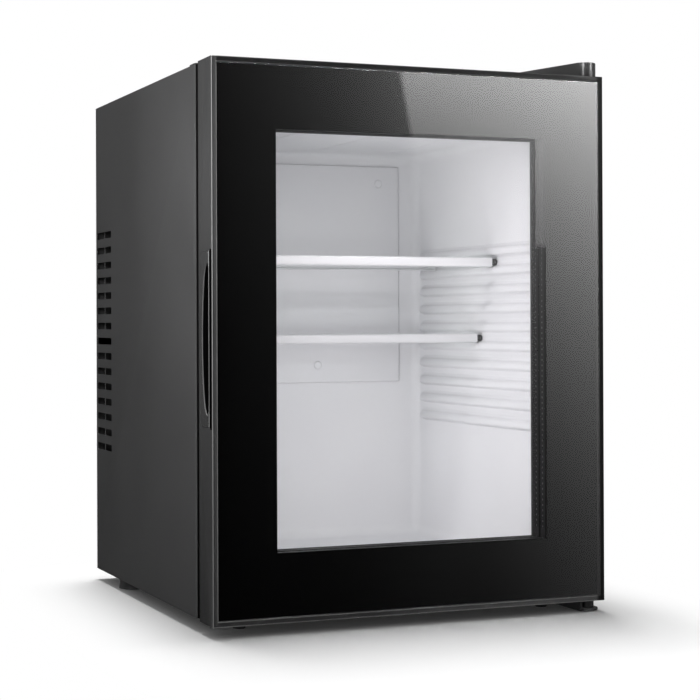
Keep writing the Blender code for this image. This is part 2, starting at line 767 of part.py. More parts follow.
def fan():
    front, back = FAN_FRONT, FAN_FRONT + FAN_DEPTH
    half = FAN_SIDE / 2
    outline = rounded(-half, half, COOLER_Z - half, COOLER_Z + half, FAN_CORNER)
    centre = (0.0, front, COOLER_Z)
    frame = place("fan_frame", prism(outline, "Y", front, back), black_plastic(), centre)
    bore = prism(circle(0.0, COOLER_Z, FAN_BORE, 2 * ROUND_SIDES), "Y", front - OVERSHOOT, back + OVERSHOOT)
    cut(frame, "fan_bore", bore)
    strut_front = back - STRUT_THICK
    reach, half_strut = (FAN_BORE + half) / 2, STRUT_WIDTH / 2
    across = box((-reach, strut_front, COOLER_Z - half_strut), (reach, back, COOLER_Z + half_strut))
    upright = box((-half_strut, strut_front, COOLER_Z - reach), (half_strut, back, COOLER_Z + reach))
    join(frame, "fan_strut_across", across)
    join(frame, "fan_strut_upright", upright)
    join(frame, "fan_motor_seat", prism(circle(0.0, COOLER_Z, FAN_HUB, ROUND_SIDES), "Y", strut_front, back))

    hub_front, hub_back = front + ROTOR_INSET, strut_front - FIT
    spin = axis_empty("fan_axis", (0.0, hub_front, COOLER_Z))
    hub = prism(circle(0.0, COOLER_Z, FAN_HUB, ROUND_SIDES), "Y", hub_front, hub_back)
    rotor = place("fan_rotor", hub, black_plastic(), spin.location, spin)
    rise = BLADE_CHORD * math.sin(math.radians(BLADE_PITCH_DEG))
    blades = [blade(number * math.tau / FAN_BLADES, hub_front + rise / 2 + FIT) for number in range(FAN_BLADES)]
    join(rotor, "fan_blades", gather(blades))


def blade(turn, middle_y):
    """A flat blade set at its pitch, from inside the hub to just short of the bore."""
    pitch = math.radians(BLADE_PITCH_DEG)
    out = Vector((math.cos(turn), 0.0, math.sin(turn)))
    round_way = Vector((-math.sin(turn), 0.0, math.cos(turn)))
    chord = round_way * math.cos(pitch) + Vector((0.0, math.sin(pitch), 0.0))
    across = chord.cross(out).normalized()
    tip = math.sqrt((FAN_BORE - FAN_TIP_GAP) ** 2 - (BLADE_CHORD * math.cos(pitch) / 2) ** 2)
    along, through = chord * BLADE_CHORD / 2, across * BLADE_THICK / 2
    corners = (-along - through, along - through, along + through, -along + through)
    centre = Vector((0.0, middle_y, COOLER_Z))
    root_end, tip_end = centre + out * (FAN_HUB - OVERSHOOT), centre + out * tip
    return bridge([root_end + corner for corner in corners], [tip_end + corner for corner in corners])


def feet():
    top = CABINET_BOTTOM - FIT
    front_y = CABINET_FRONT + FRONT_FOOT_SETBACK
    back_y = CABINET_BACK - REAR_FOOT_MARGIN
    for name, side in (("left", -1), ("right", 1)):
        radius = FRONT_FOOT_RADIUS
        profile = ((0, 0), (radius, 0), (radius, top), (0, top))
        centre = (side * (HALF - FRONT_FOOT_INSET), front_y, 0.0)
        place(f"front_foot_{name}", turned(profile, centre, "Z", SMALL_SIDES), foot_rubber(), centre)
        radius = REAR_FOOT_RADIUS
        waist = radius - REAR_FOOT_FLARE
        profile = ((0, 0), (radius, 0), (waist, top / 2), (radius, top), (0, top))
        centre = (side * (HALF - REAR_FOOT_INSET), back_y, 0.0)
        place(f"rear_foot_{name}", turned(profile, centre), foot_rubber(), centre)


def shelf(name, ridge_number, rear_gap):
    """A glass plate that rests on two ridges, with a trim on its front and its rear edge."""
    back = PANEL_FRONT - rear_gap
    front = back - SHELF_DEPTH
    low = ridge_z(ridge_number) + RIDGE_HEIGHT + FIT
    runner = axis_empty(f"{name}_shelf_runner", (0.0, front, low))
    wall = TRIM_DEPTH - TRIM_GROOVE
    half = INNER_HALF - SHELF_SIDE_PLAY
    glass_low = (-half, front + wall + FIT, low)
    glass_high = (half, back - wall - FIT, low + SHELF_GLASS)
    block(f"{name}_shelf_glass", glass_low, glass_high, clear_glass(), runner)
    trim_half = INNER_HALF - RIDGE_REACH - 2 * FIT
    trim_low = low - TRIM_BELOW
    for end, shut, inward in (("front", front, 1), ("rear", back, -1)):
        mouth, root = shut + inward * TRIM_DEPTH, shut + inward * wall
        groove_low, groove_high = low - FIT, low + SHELF_GLASS + FIT
        outline = [(shut, trim_low), (mouth, trim_low), (mouth, groove_low), (root, groove_low)]
        outline += [(root, groove_high), (mouth, groove_high)]
        outline += [(mouth, trim_low + TRIM_HEIGHT), (shut, trim_low + TRIM_HEIGHT)]
        shape = prism(outline, "X", -trim_half, trim_half)
        long_edges = [edge for edge in shape.edges if runs_along(edge, 0) and in_plane(edge, 1, shut)]
        soften(shape, long_edges, TRIM_RADIUS, CORNER_STEPS)
        place(f"{name}_shelf_{end}_trim", shape, white_plastic(), (0.0, shut, low), runner)


def door_profiles(carrier):
    """Two stiles over the full height and two rails between them, cut out for the glass and the gasket."""
    inner, rail_half = HALF - PROFILE_WIDTH, HALF - PROFILE_WIDTH - FIT
    spans = {
        "door_stile_left": ((-HALF, DOOR_BOTTOM), (-inner, DOOR_TOP)),
        "door_stile_right": ((inner, DOOR_BOTTOM), (HALF, DOOR_TOP)),
        "door_rail_bottom": ((-rail_half, DOOR_BOTTOM), (rail_half, DOOR_BOTTOM + PROFILE_WIDTH)),
        "door_rail_top": ((-rail_half, DOOR_TOP - PROFILE_WIDTH), (rail_half, DOOR_TOP)),
    }
    edge = HALF - DOOR_LIP
    low = (-edge, DOOR_FRONT - OVERSHOOT, DOOR_BOTTOM + DOOR_LIP)
    high = (edge, FRONT_SPACER_Y, DOOR_TOP - DOOR_LIP)
    rebate = helper("front_glass_rebate", box(low, high), black_plastic())
    groove_low, groove_high = TONGUE_INSET - FIT, TONGUE_INSET + TONGUE_WIDTH + FIT
    shape = door_ring(groove_low, groove_high, DOOR_BACK - TONGUE_DEPTH - FIT, DOOR_BACK + OVERSHOOT)
    groove = helper("gasket_groove", shape, black_plastic())
    made = {}
    for name, ((x_low, z_low), (x_high, z_high)) in spans.items():
        low, high = (x_low, DOOR_FRONT, z_low), (x_high, DOOR_BACK, z_high)
        shape = box(low, high)
        if "stile" in name:
            outer = max(low[0], high[0], key=abs)
            upright = [edge for edge in shape.edges if runs_along(edge, 2) and in_plane(edge, 0, outer)]
            soften(shape, upright, DOOR_EDGE_RADIUS, 2)
        made[name] = place(name, shape, black_plastic(), middle(low, high), carrier)
        boolean(made[name], rebate, "DIFFERENCE")
        boolean(made[name], groove, "DIFFERENCE")
    return made


def handle_outline(margin, front):
    """The insert's outline on the door's edge, grown by a margin, from a given front edge."""
    middle_z, half = DOOR_BOTTOM + HANDLE_CENTRE, HANDLE_LENGTH / 2 + margin
    back = DOOR_FRONT + HANDLE_FRONT + HANDLE_WIDTH
    return rounded(front, back + margin, middle_z - half, middle_z + half, HANDLE_RADIUS + margin)


def finger_slot_outline():
    """A straight front edge closed by one long arc behind it."""
    half = SLOT_LENGTH / 2
    radius = (half**2 + SLOT_BOW**2) / (2 * SLOT_BOW)
    front = DOOR_FRONT + SLOT_FRONT
    centre_z = DOOR_BOTTOM + HANDLE_CENTRE
    reach = math.degrees(math.asin(half / radius))
    return arc(front + SLOT_BOW - radius, centre_z, radius, -reach, reach, SLOT_STEPS)


def handle(stile, carrier):
    """An insert with a finger slot, in a pocket that leaves a shallow groove before its lip."""
    front, outside = DOOR_FRONT + HANDLE_FRONT, -HALF - OVERSHOOT
    pocket = prism(handle_outline(FIT, front - FIT), "X", outside, -HALF + HANDLE_DEPTH + FIT)
    cut(stile, "handle_pocket", pocket)
    shallow = prism(handle_outline(FIT, DOOR_FRONT + GROOVE_FRONT), "X", outside, -HALF + GROOVE_DEPTH)
    cut(stile, "handle_groove", shallow)
    origin = (-HALF, DOOR_FRONT + SLOT_FRONT, DOOR_BOTTOM + HANDLE_CENTRE)
    shape = prism(handle_outline(0.0, front), "X", -HALF, -HALF + HANDLE_DEPTH)
    insert = place("handle_insert", shape, black_plastic(), origin, carrier)
    low, high = (outside, DOOR_FRONT, DOOR_BOTTOM), (-HALF + GROOVE_DEPTH, DOOR_FRONT + LIP_FRONT, DOOR_TOP)
    cut(insert, "lip_rebate", box(low, high))
    cut(insert, "finger_slot", prism(finger_slot_outline(), "X", -HALF - OVERSHOOT, -HALF + SLOT_DEPTH))


def pane(name, inset, front, thick, carrier):
    low = (-HALF + inset, front, DOOR_BOTTOM + inset)
    high = (HALF - inset, front + thick, DOOR_TOP - inset)
    block(name, low, high, clear_glass(), carrier)


def glazing(carrier):
    """Front glass with its black print, then two spacer frames with a pane behind each, and their bead."""
    centre = (0.0, GLASS_BACK, (DOOR_BOTTOM + DOOR_TOP) / 2)
    pane("front_glass", DOOR_LIP + FIT, GLASS_FRONT, FRONT_GLASS, carrier)
    shape = door_ring(DOOR_LIP + FIT, WINDOW_MARGIN, PRINT_FRONT, PRINT_FRONT + PRINT_THICK)
    place("glass_border_print", shape, black_print(), centre, carrier)
    pane("middle_glass", PANE_EDGE, MIDDLE_GLASS_Y, MIDDLE_GLASS, carrier)
    pane("inner_glass", PANE_EDGE, INNER_GLASS_Y, INNER_GLASS, carrier)
    for name, y in (("front", FRONT_SPACER_Y), ("rear", REAR_SPACER_Y)):
        shape = door_ring(SPACER_EDGE, WINDOW_MARGIN, y, y + SPACER_DEPTH)
        place(f"spacer_frame_{name}", shape, aluminium(), centre, carrier)
    bead_y = INNER_GLASS_Y + INNER_GLASS + FIT
    shape = door_ring(PANE_EDGE, PANE_EDGE + BEAD_WIDTH, bead_y, bead_y + BEAD_DEPTH)
    place("glazing_bead", shape, gasket_rubber(), centre, carrier)


def door_gasket(carrier):
    front, back = DOOR_BACK + FIT, CABINET_FRONT - FIT
    inner = GASKET_INSET + GASKET_WIDTH
    tongue_low, tongue_high = TONGUE_INSET, TONGUE_INSET + TONGUE_WIDTH
    root = DOOR_BACK - TONGUE_DEPTH
    profile = ((GASKET_INSET, front), (tongue_low, front), (tongue_low, root), (tongue_high, root))
    profile += ((tongue_high, front), (inner, front), (inner, back), (GASKET_INSET, back))
    shape = ring(profile, HALF, DOOR_BOTTOM, DOOR_TOP)
    place("door_gasket", shape, gasket_rubber(), (0.0, DOOR_BACK, (DOOR_BOTTOM + DOOR_TOP) / 2), carrier)


def hinge_bushes(stile, carrier):
    """A bush let into each end of the hinge stile, and its hole."""
    for name, mouth, inward in (("upper", DOOR_TOP, -1), ("lower", DOOR_BOTTOM, 1)):
        deep = mouth + inward * (BUSH_LENGTH + 2 * FIT)
        hole = circle(PIVOT_X, PIVOT_Y, BUSH_RADIUS + FIT, ROUND_SIDES)
        ends = sorted((mouth - inward * OVERSHOOT, deep))
        cut(stile, f"{name}_bush_hole", prism(hole, "Z", *ends))
        low, high = sorted((mouth + inward * FIT, mouth + inward * (BUSH_LENGTH + FIT)))
        bore = PIN_RADIUS + PIN_PLAY
        profile = ((BUSH_RADIUS, low), (BUSH_RADIUS, high), (bore, high), (bore, low))
        centre = (PIVOT_X, PIVOT_Y, mouth)
        place(f"{name}_hinge_bush", turned(profile, centre, bored=True), white_plastic(), centre, carrier)


def strap_outline(radius, back, left, right):
    """Plan of a hinge cover or bracket: a round nose about the pivot that widens towards the back."""
    away = Vector((left - PIVOT_X, back - PIVOT_Y))
    lean = math.degrees(math.atan2(away.y, away.x) + math.acos(radius / away.length))
    nose = arc(PIVOT_X, PIVOT_Y, radius, lean, 360, NOSE_STEPS)
    return nose + [(right, back), (left, back)]


def upper_hinge():
    seat = RAIL_TOP + FIT
    over_door = CABINET_FRONT + RUNNING_GAP
    back, left, right = DOOR_FRONT + COVER_BACK, HALF - COVER_SPREAD, PIVOT_X + COVER_RADIUS
    inset = BRACKET_INSET
    outline = strap_outline(COVER_RADIUS - inset, back - inset, left + inset, right - inset)
    origin = (PIVOT_X, PIVOT_Y, PLATE_TOP)
    bracket = place("upper_hinge_bracket", prism(outline, "Z", seat, PLATE_TOP), bare_metal(), origin)
    under = box((0.0, DOOR_FRONT - OVERSHOOT, seat - OVERSHOOT), (HALF, over_door, PLATE_LOW))
    cut(bracket, "bracket_joggle", under)
    hole = circle(PIVOT_X, PIVOT_Y, PIN_RADIUS + PIN_PLAY, SMALL_SIDES)
    cut(bracket, "bracket_pin_hole", prism(hole, "Z", seat, PLATE_TOP + OVERSHOOT))
    points = upper_screw_points()
    cut(bracket, "bracket_screw_holes", screw_holes(points, seat - OVERSHOOT, PLATE_TOP + OVERSHOOT))

    head_low = PLATE_TOP + FIT
    tip = DOOR_TOP - PIN_REACH
    profile = ((0, tip), (PIN_RADIUS, tip), (PIN_RADIUS, head_low), (PIN_HEAD_RADIUS, head_low))
    profile += ((PIN_HEAD_RADIUS, head_low + PIN_HEAD), (0, head_low + PIN_HEAD))
    place("upper_hinge_pin", turned(profile, origin, "Z", SMALL_SIDES), bare_metal(), origin)
    for number, (x, y) in enumerate(points, 1):
        screw(f"upper_hinge_screw_{number}", x, y, head_low, 1)

    top = seat + COVER_HEIGHT
    shape = prism(strap_outline(COVER_RADIUS, back, left, right), "Z", seat, top)
    soften(shape, [edge for edge in shape.edges if in_plane(edge, 2, top)], COVER_EDGE, 2)
    cover = place("upper_hinge_cover", shape, black_plastic(), origin)
    wall = COVER_WALL
    hollow = strap_outline(COVER_RADIUS - wall, back - wall, left + wall, right - wall)
    cut(cover, "cover_hollow", prism(hollow, "Z", seat - OVERSHOOT, top - wall))
    under = box((0.0, DOOR_FRONT - OVERSHOOT, seat - OVERSHOOT), (HALF, over_door, DOOR_TOP + COVER_DOOR_GAP))
    cut(cover, "cover_door_relief", under)


def screw(name, x, y, seat, upward):
    """A round-headed screw with its head on one side of the seat and its shank on the other."""
    head, tip = seat + upward * SCREW_HEAD, seat - upward * (SCREW_LENGTH + FIT)
    profile = ((0, tip), (SCREW_RADIUS, tip), (SCREW_RADIUS, seat), (SCREW_HEAD_RADIUS, seat))
    profile += ((SCREW_HEAD_RADIUS * HEAD_TOP_SHARE, head), (0, head))
    place(name, turned(profile, (x, y, seat), "Z", SMALL_SIDES), bare_metal(), (x, y, seat))


def lower_hinge():
    """A bent bracket under the body: an upright web, a flange that is screwed on, and a plate with the pin."""
    seat = CABINET_BOTTOM - FIT
    under_door = DOOR_BOTTOM - RUNNING_GAP
    behind_door = CABINET_FRONT + RUNNING_GAP
    web_x = HALF - LOWER_WEB_INSET
    front, back = DOOR_FRONT + LOWER_WEB_FRONT, DOOR_FRONT + LOWER_WEB_BACK
    flange_low = seat - HINGE_PLATE
    outline = [(front, FLOOR_GAP), (DOOR_FRONT + LOWER_WEB_TAPER, FLOOR_GAP), (back, flange_low), (back, seat)]
    outline += [(behind_door, seat), (behind_door, under_door), (front, under_door)]
    shape = prism(outline, "X", web_x, web_x + HINGE_PLATE)
    origin = (PIVOT_X, PIVOT_Y, DOOR_BOTTOM)
    bracket = place("lower_hinge_bracket", shape, painted_steel(), origin)
    low = (web_x + HINGE_PLATE - LOWER_FLANGE_WIDTH, back - LOWER_FLANGE_DEPTH, flange_low)
    join(bracket, "lower_flange", box(low, (web_x + HINGE_PLATE, back, seat)))
    plate_low, plate_top = LOWER_PLATE_RISE, LOWER_PLATE_RISE + HINGE_PLATE
    right, nose, radius = PIVOT_X + COVER_RADIUS, DOOR_FRONT + LOWER_PLATE_FRONT, LOWER_PLATE_RADIUS
    root = web_x + HINGE_PLATE / 2
    outline = [(root, front), (web_x + HINGE_PLATE, nose)]
    outline += arc(right - radius, nose + radius, radius, -90, 0, 2 * CORNER_STEPS)
    outline += [(right, CABINET_FRONT), (root, CABINET_FRONT)]
    join(bracket, "lower_plate", prism(outline, "Z", plate_low, plate_top))
    tail = PIN_RADIUS - PIN_PLAY
    hole = circle(PIVOT_X, PIVOT_Y, PIN_RADIUS, SMALL_SIDES)
    cut(bracket, "lower_pin_hole", prism(hole, "Z", plate_low - OVERSHOOT, plate_top + OVERSHOOT))
    points = lower_screw_points()
    cut(bracket, "lower_screw_holes", screw_holes(points, flange_low - OVERSHOOT, seat + OVERSHOOT))
    for number, (x, y) in enumerate(points, 1):
        screw(f"lower_hinge_screw_{number}", x, y, flange_low - FIT, -1)

    shoulder_low, shoulder_top = plate_top + FIT, DOOR_BOTTOM - FIT
    profile = ((0, plate_low), (tail, plate_low), (tail, shoulder_low), (SHOULDER_RADIUS, shoulder_low))
    profile += ((SHOULDER_RADIUS, shoulder_top), (PIN_RADIUS, shoulder_top))
    profile += ((PIN_RADIUS, DOOR_BOTTOM + PIN_REACH), (0, DOOR_BOTTOM + PIN_REACH))
    place("lower_hinge_pin", turned(profile, origin, "Z", SMALL_SIDES), bare_metal(), origin)


def door():
    swing = axis_empty("door_axis", (PIVOT_X, PIVOT_Y, DOOR_BOTTOM))
    profiles = door_profiles(swing)
    handle(profiles["door_stile_left"], swing)
    hinge_bushes(profiles["door_stile_right"], swing)
    glazing(swing)
    door_gasket(swing)


def build():
    for old in list(bpy.data.objects):
        bpy.data.objects.remove(old, do_unlink=True)
    side_panels()
    outer_sheets()
    inner_liner()
    insulation_foam()
    back_wall_panel()
    lamp_lens()
    cooling_unit()
    power_board_box()
    mains_inlet()
    feet()
    upper_hinge()
    lower_hinge()
    door()
    shelf("upper", UPPER_SHELF_RIDGE, UPPER_SHELF_REAR_GAP)
    shelf("lower", LOWER_SHELF_RIDGE, LOWER_SHELF_REAR_GAP)


build()
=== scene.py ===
import math

import bmesh
import bpy
from mathutils import Matrix, Vector


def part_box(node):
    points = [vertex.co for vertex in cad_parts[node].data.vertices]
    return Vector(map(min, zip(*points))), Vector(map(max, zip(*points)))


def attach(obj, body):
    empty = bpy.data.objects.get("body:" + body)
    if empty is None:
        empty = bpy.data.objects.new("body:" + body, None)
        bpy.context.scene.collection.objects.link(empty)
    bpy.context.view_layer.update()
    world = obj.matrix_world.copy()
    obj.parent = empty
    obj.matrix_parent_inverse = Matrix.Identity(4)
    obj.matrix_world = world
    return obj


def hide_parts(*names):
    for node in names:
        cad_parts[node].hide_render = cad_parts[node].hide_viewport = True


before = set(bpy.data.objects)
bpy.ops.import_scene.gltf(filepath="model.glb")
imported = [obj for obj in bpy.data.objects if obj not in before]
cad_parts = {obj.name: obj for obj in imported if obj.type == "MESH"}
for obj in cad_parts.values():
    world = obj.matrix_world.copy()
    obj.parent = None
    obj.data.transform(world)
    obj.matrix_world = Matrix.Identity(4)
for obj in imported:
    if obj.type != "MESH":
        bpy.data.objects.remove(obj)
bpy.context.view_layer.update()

# The camera stands at the height of the fridge's middle and some 22 degrees to the left of its front.
# Its place, turn and lens come from fitting the straight edges of the door, window and body.
CAMERA_PLACE = Vector((-0.687935, -1.722448, 0.282923))
CAMERA_YAW, CAMERA_PITCH, CAMERA_ROLL = math.radians(22.395), math.radians(0.181), math.radians(-0.223)
IMAGE_SIDE = 700
FOCAL_LENGTH = 1782.487
PRINCIPAL_X, PRINCIPAL_Y = 353.242, 316.369

camera = bpy.data.objects.new("camera", bpy.data.cameras.new("camera"))
bpy.context.scene.collection.objects.link(camera)
bpy.context.scene.camera = camera
forward = Vector((
    math.sin(CAMERA_YAW) * math.cos(CAMERA_PITCH),
    math.cos(CAMERA_YAW) * math.cos(CAMERA_PITCH),
    math.sin(CAMERA_PITCH),
))
level = Vector((math.cos(CAMERA_YAW), -math.sin(CAMERA_YAW), 0.0))
upright = level.cross(forward)
across = math.cos(CAMERA_ROLL) * level + math.sin(CAMERA_ROLL) * upright
above = math.cos(CAMERA_ROLL) * upright - math.sin(CAMERA_ROLL) * level
turned = Matrix((across, above, -forward)).transposed()
camera.matrix_world = Matrix.Translation(CAMERA_PLACE) @ turned.to_4x4()
camera.data.lens = FOCAL_LENGTH / IMAGE_SIDE * camera.data.sensor_width
camera.data.shift_x = (IMAGE_SIDE / 2 - PRINCIPAL_X) / IMAGE_SIDE
camera.data.shift_y = (PRINCIPAL_Y - IMAGE_SIDE / 2) / IMAGE_SIDE


# The studio is a white floor that fades into a white surround, so that only the soft shadow shows.
# A tree's maths is written as expressions on Term, and its other nodes come from Tree.add.
class Term:
    """A node's output, on which arithmetic adds Math nodes."""

    def __init__(self, owner, socket):
        self.owner, self.socket = owner, socket

    def maths(self, operation, *values):
        return self.owner.add("ShaderNodeMath", {"operation": operation}, dict(enumerate(values)))

    def __add__(self, other):
        return self.maths("ADD", self, other)

    def __sub__(self, other):
        return self.maths("SUBTRACT", self, other)

    def __rsub__(self, other):
        return self.maths("SUBTRACT", other, self)

    def __mul__(self, other):
        return self.maths("MULTIPLY", self, other)

    def __truediv__(self, other):
        return self.maths("DIVIDE", self, other)

    def __pow__(self, other):
        return self.maths("POWER", self, other)

    __radd__, __rmul__ = __add__, __mul__

    def output(self, name):
        return Term(self.owner, self.socket.node.outputs[name])

    def unsigned(self):
        return self.maths("ABSOLUTE", self)

    def exponent(self):
        return self.maths("EXPONENT", self)

    def or_more(self, other):
        return self.maths("MAXIMUM", self, other)

    def or_less(self, other):
        return self.maths("MINIMUM", self, other)

    def within(self, low, high):
        return self.or_more(low).or_less(high)

    def rise(self, low, high):
        """From 0 at low to 1 at high, without a corner at either."""
        inputs = {"Value": self, "From Min": low, "From Max": high}
        return self.owner.add("ShaderNodeMapRange", {"interpolation_type": "SMOOTHSTEP"}, inputs)

    def fall(self, low, high):
        return 1.0 - self.rise(low, high)


class Tree:
    """A node tree that is filled by calls."""

    def __init__(self, tree):
        self.tree = tree

    def wire(self, node, inputs):
        for name, value in inputs.items():
            if isinstance(value, Term):
                self.tree.links.new(value.socket, node.inputs[name])
            else:
                node.inputs[name].default_value = value

    def add(self, kind, settings=None, inputs=None, output=0):
        node = self.tree.nodes.new(kind)
        for name, value in (settings or {}).items():
            setattr(node, name, value)
        self.wire(node, inputs or {})
        return Term(self, node.outputs[output]) if node.outputs else node

    def place(self, axis=None):
        """Where a point is on its piece, or one of the three numbers of that."""
        point = self.add("ShaderNodeTexCoord", output="Object")
        return point if axis is None else self.add("ShaderNodeSeparateXYZ", {}, {"Vector": point}, axis)

    def noise(self, scale, detail=2.0, stretch=(1.0, 1.0, 1.0)):
        point = self.add("ShaderNodeMapping", {}, {"Vector": self.place(), "Scale": stretch})
        return self.add("ShaderNodeTexNoise", {}, {"Vector": point, "Scale": scale, "Detail": detail})

    def blend(self, share, first, second):
        return self.add("ShaderNodeMix", {"data_type": "RGBA"}, {0: share, 6: first, 7: second}, 2)


class Surface(Tree):
    """An empty material, which end() closes with its shader."""

    def __init__(self, name):
        self.material = bpy.data.materials.new(name)
        self.material.use_nodes = True
        super().__init__(self.material.node_tree)
        self.tree.nodes.clear()

    def end(self, shader):
        self.add("ShaderNodeOutputMaterial", {}, {"Surface": shader})
        return self.material


def grey(shade):
    return (shade, shade, shade, 1.0)


def shown_piece(name, mesh, finish):
    made = bpy.data.objects.new(name, mesh)
    bpy.context.scene.collection.objects.link(made)
    mesh.materials.clear()
    mesh.materials.append(finish)
    return made


FLOOR_SIDE = 14.0
FLOOR_WHITE = 0.93
FOOTPRINT_X, FOOTPRINT_Y = 0.20, 0.21
SHADOW_START, SHADOW_REACH, FRONT_STRETCH = -0.01, 0.13, 4.5

ground = Surface("white_floor")
beside = ground.place("X").unsigned() - FOOTPRINT_X
behind = ground.place("Y") - FOOTPRINT_Y
ahead = (-FOOTPRINT_Y - ground.place("Y")) / FRONT_STRETCH
beyond = behind.or_more(ahead).or_more(0.0)
from_fridge = (beside.or_more(0.0) ** 2.0 + beyond ** 2.0) ** 0.5
ray = ground.add("ShaderNodeLightPath", output="Is Camera Ray")
ray = ray.or_more(ray.output("Is Transmission Ray"))
plain = ground.add("ShaderNodeBsdfDiffuse", {}, {"Color": grey(FLOOR_WHITE)})
white = ground.add("ShaderNodeEmission", {}, {"Color": grey(1.0), "Strength": 1.0})
fade = from_fridge.rise(SHADOW_START, SHADOW_REACH) * ray
faded = ground.add("ShaderNodeMixShader", {}, {0: fade, 1: plain, 2: white})
half = FLOOR_SIDE / 2
corners = [(-half, -half, 0), (half, -half, 0), (half, half, 0), (-half, half, 0)]
floor_mesh = bpy.data.meshes.new("floor")
floor_mesh.from_pydata(corners, [], [(0, 1, 2, 3)])
floor = shown_piece("floor", floor_mesh, ground.end(faded))
floor.visible_glossy = False

WORLD_LIGHT = 0.36
world = bpy.data.worlds.new("white_surround")
bpy.context.scene.world = world
world.use_nodes = True
surround = Tree(world.node_tree)
surround.tree.nodes.clear()
ray = surround.add("ShaderNodeLightPath", output="Is Camera Ray")
ray = ray.or_more(ray.output("Is Glossy Ray").or_more(ray.output("Is Transmission Ray")))
strength = ray * (1.0 - WORLD_LIGHT) + WORLD_LIGHT
sky = surround.add("ShaderNodeBackground", {}, {"Color": grey(1.0), "Strength": strength})
surround.add("ShaderNodeOutputWorld", {}, {"Surface": sky})


# The lamps are a large one overhead, which throws the short shadow round the fridge, and a near one to the
# left, which lights the side panel most at its upper front and throws no shadow on the floor.
def lamp(name, spot, target, sides, power):
    light = bpy.data.lights.new(name, "AREA")
    light.shape = "RECTANGLE"
    light.size, light.size_y = sides
    light.energy = power
    made = bpy.data.objects.new(name, light)
    bpy.context.scene.collection.objects.link(made)
    made.location = spot
    made.rotation_euler = (Vector(target) - Vector(spot)).to_track_quat("-Z", "Y").to_euler()
    made.visible_camera = made.visible_glossy = False
    return made


def lights_only(source, pieces, mode="INCLUDE"):
    """A lamp or a glowing piece then lights only these pieces, or with EXCLUDE all the others."""
    group = bpy.data.collections.new(f"{source.name}_pieces")
    source.light_linking.receiver_collection = group
    for piece in pieces:
        group.objects.link(piece)
    for member in group.collection_objects:
        member.light_linking.link_state = mode


lamp("overhead_lamp", spot=(0.0, 0.64, 4.0), target=(0.0, 0.0, 0.0), sides=(1.2, 1.45), power=137.0)
side_lamp = lamp(
    "side_lamp", spot=(-0.476, -0.277, 0.45), target=(-0.2, -0.1, 0.40), sides=(0.12, 0.12), power=2.75
)
lights_only(side_lamp, [floor], "EXCLUDE")
bpy.context.scene.view_settings.view_transform = "Standard"
bpy.context.scene.cycles.transparent_max_bounces = 32


# Two tents of cloth stand round the whole scene and show only in gloss. The panes mirror one, with a bright
# panel at its front right that gives the grey sheen with one slanting edge. All else mirrors the dim one,
# which has a bright upright strip on either side of the front and a soft light behind.
TENT_BOTTOM, TENT_TOP, TENT_SIDES = -3.0, 4.0, 96
MIRRORED_RADIUS, DIM_RADIUS, GRADED_REACH = 2.6, 2.7, 2.0
PANEL_HEIGHTS, DIM_TURNS, BRIGHT_TURNS = (-0.6, 1.2), (0.18, 0.42), (0.36, 0.62)
DIM_FIT, BRIGHT_FIT = (-5.788, 11.114, 1.159, 3.885), (-4.686, 9.051, 5.993, -5.898)
EDGE_TURN, EDGE_SLANT = 0.4364, 0.0662
EDGE_SOFTNESS, EDGE_CRISPER, CRISPER_HEIGHTS = 0.07, 0.067, (-0.3, 0.45)
PANEL_LEFT, PANEL_RIGHT = (-0.35, 0.0), (0.9, 1.3)
LEFT_STRIP, RIGHT_STRIP, REAR_LIGHT = (-0.91, -0.75, 0.04), (0.62, 0.80, 0.04), (-2.35, -1.9, 0.10)
REAR_STRENGTH = 0.6


def tent(name, radius, made, strength, clearness):
    glow = made.add("ShaderNodeEmission", {}, {"Color": grey(1.0), "Strength": strength})
    clear = made.add("ShaderNodeBsdfTransparent", {}, {"Color": grey(clearness)})
    cloth = made.end(made.add("ShaderNodeAddShader", {}, {0: glow, 1: clear}))
    turns = [math.tau * k / TENT_SIDES for k in range(TENT_SIDES)]
    points = [(radius * math.sin(t), radius * math.cos(t), z) for z in (TENT_BOTTOM, TENT_TOP) for t in turns]
    after = [(k + 1) % TENT_SIDES for k in range(TENT_SIDES)]
    walls = [(k, after[k], TENT_SIDES + after[k], TENT_SIDES + k) for k in range(TENT_SIDES)]
    mesh = bpy.data.meshes.new(name)
    mesh.from_pydata(points, [], walls + [tuple(range(TENT_SIDES))])
    piece = shown_piece(name, mesh, cloth)
    piece.visible_camera = piece.visible_diffuse = piece.visible_shadow = False
    piece.visible_transmission = piece.visible_volume_scatter = False
    return piece


def turn_of(cloth):
    """How far round the tent a point is, from straight in front of the fridge."""
    side = cloth.place("X")
    return side.maths("ARCTAN2", side, -1.0 * cloth.place("Y"))


def graded(height, slope, start):
    """A strength that grows upwards by a steady factor."""
    return (slope * height.within(-GRADED_REACH, GRADED_REACH) + start).exponent()


def panel(fit, turn, height):
    """A panel's strength, whose logarithm follows the turn, the height and their product."""
    start, by_turn, by_height, by_both = fit
    return (start + by_turn * turn + by_height * height + by_both * (turn * height)).exponent()


def strip(turn, first, last, soft):
    return turn.rise(first, first + soft) * turn.fall(last - soft, last)


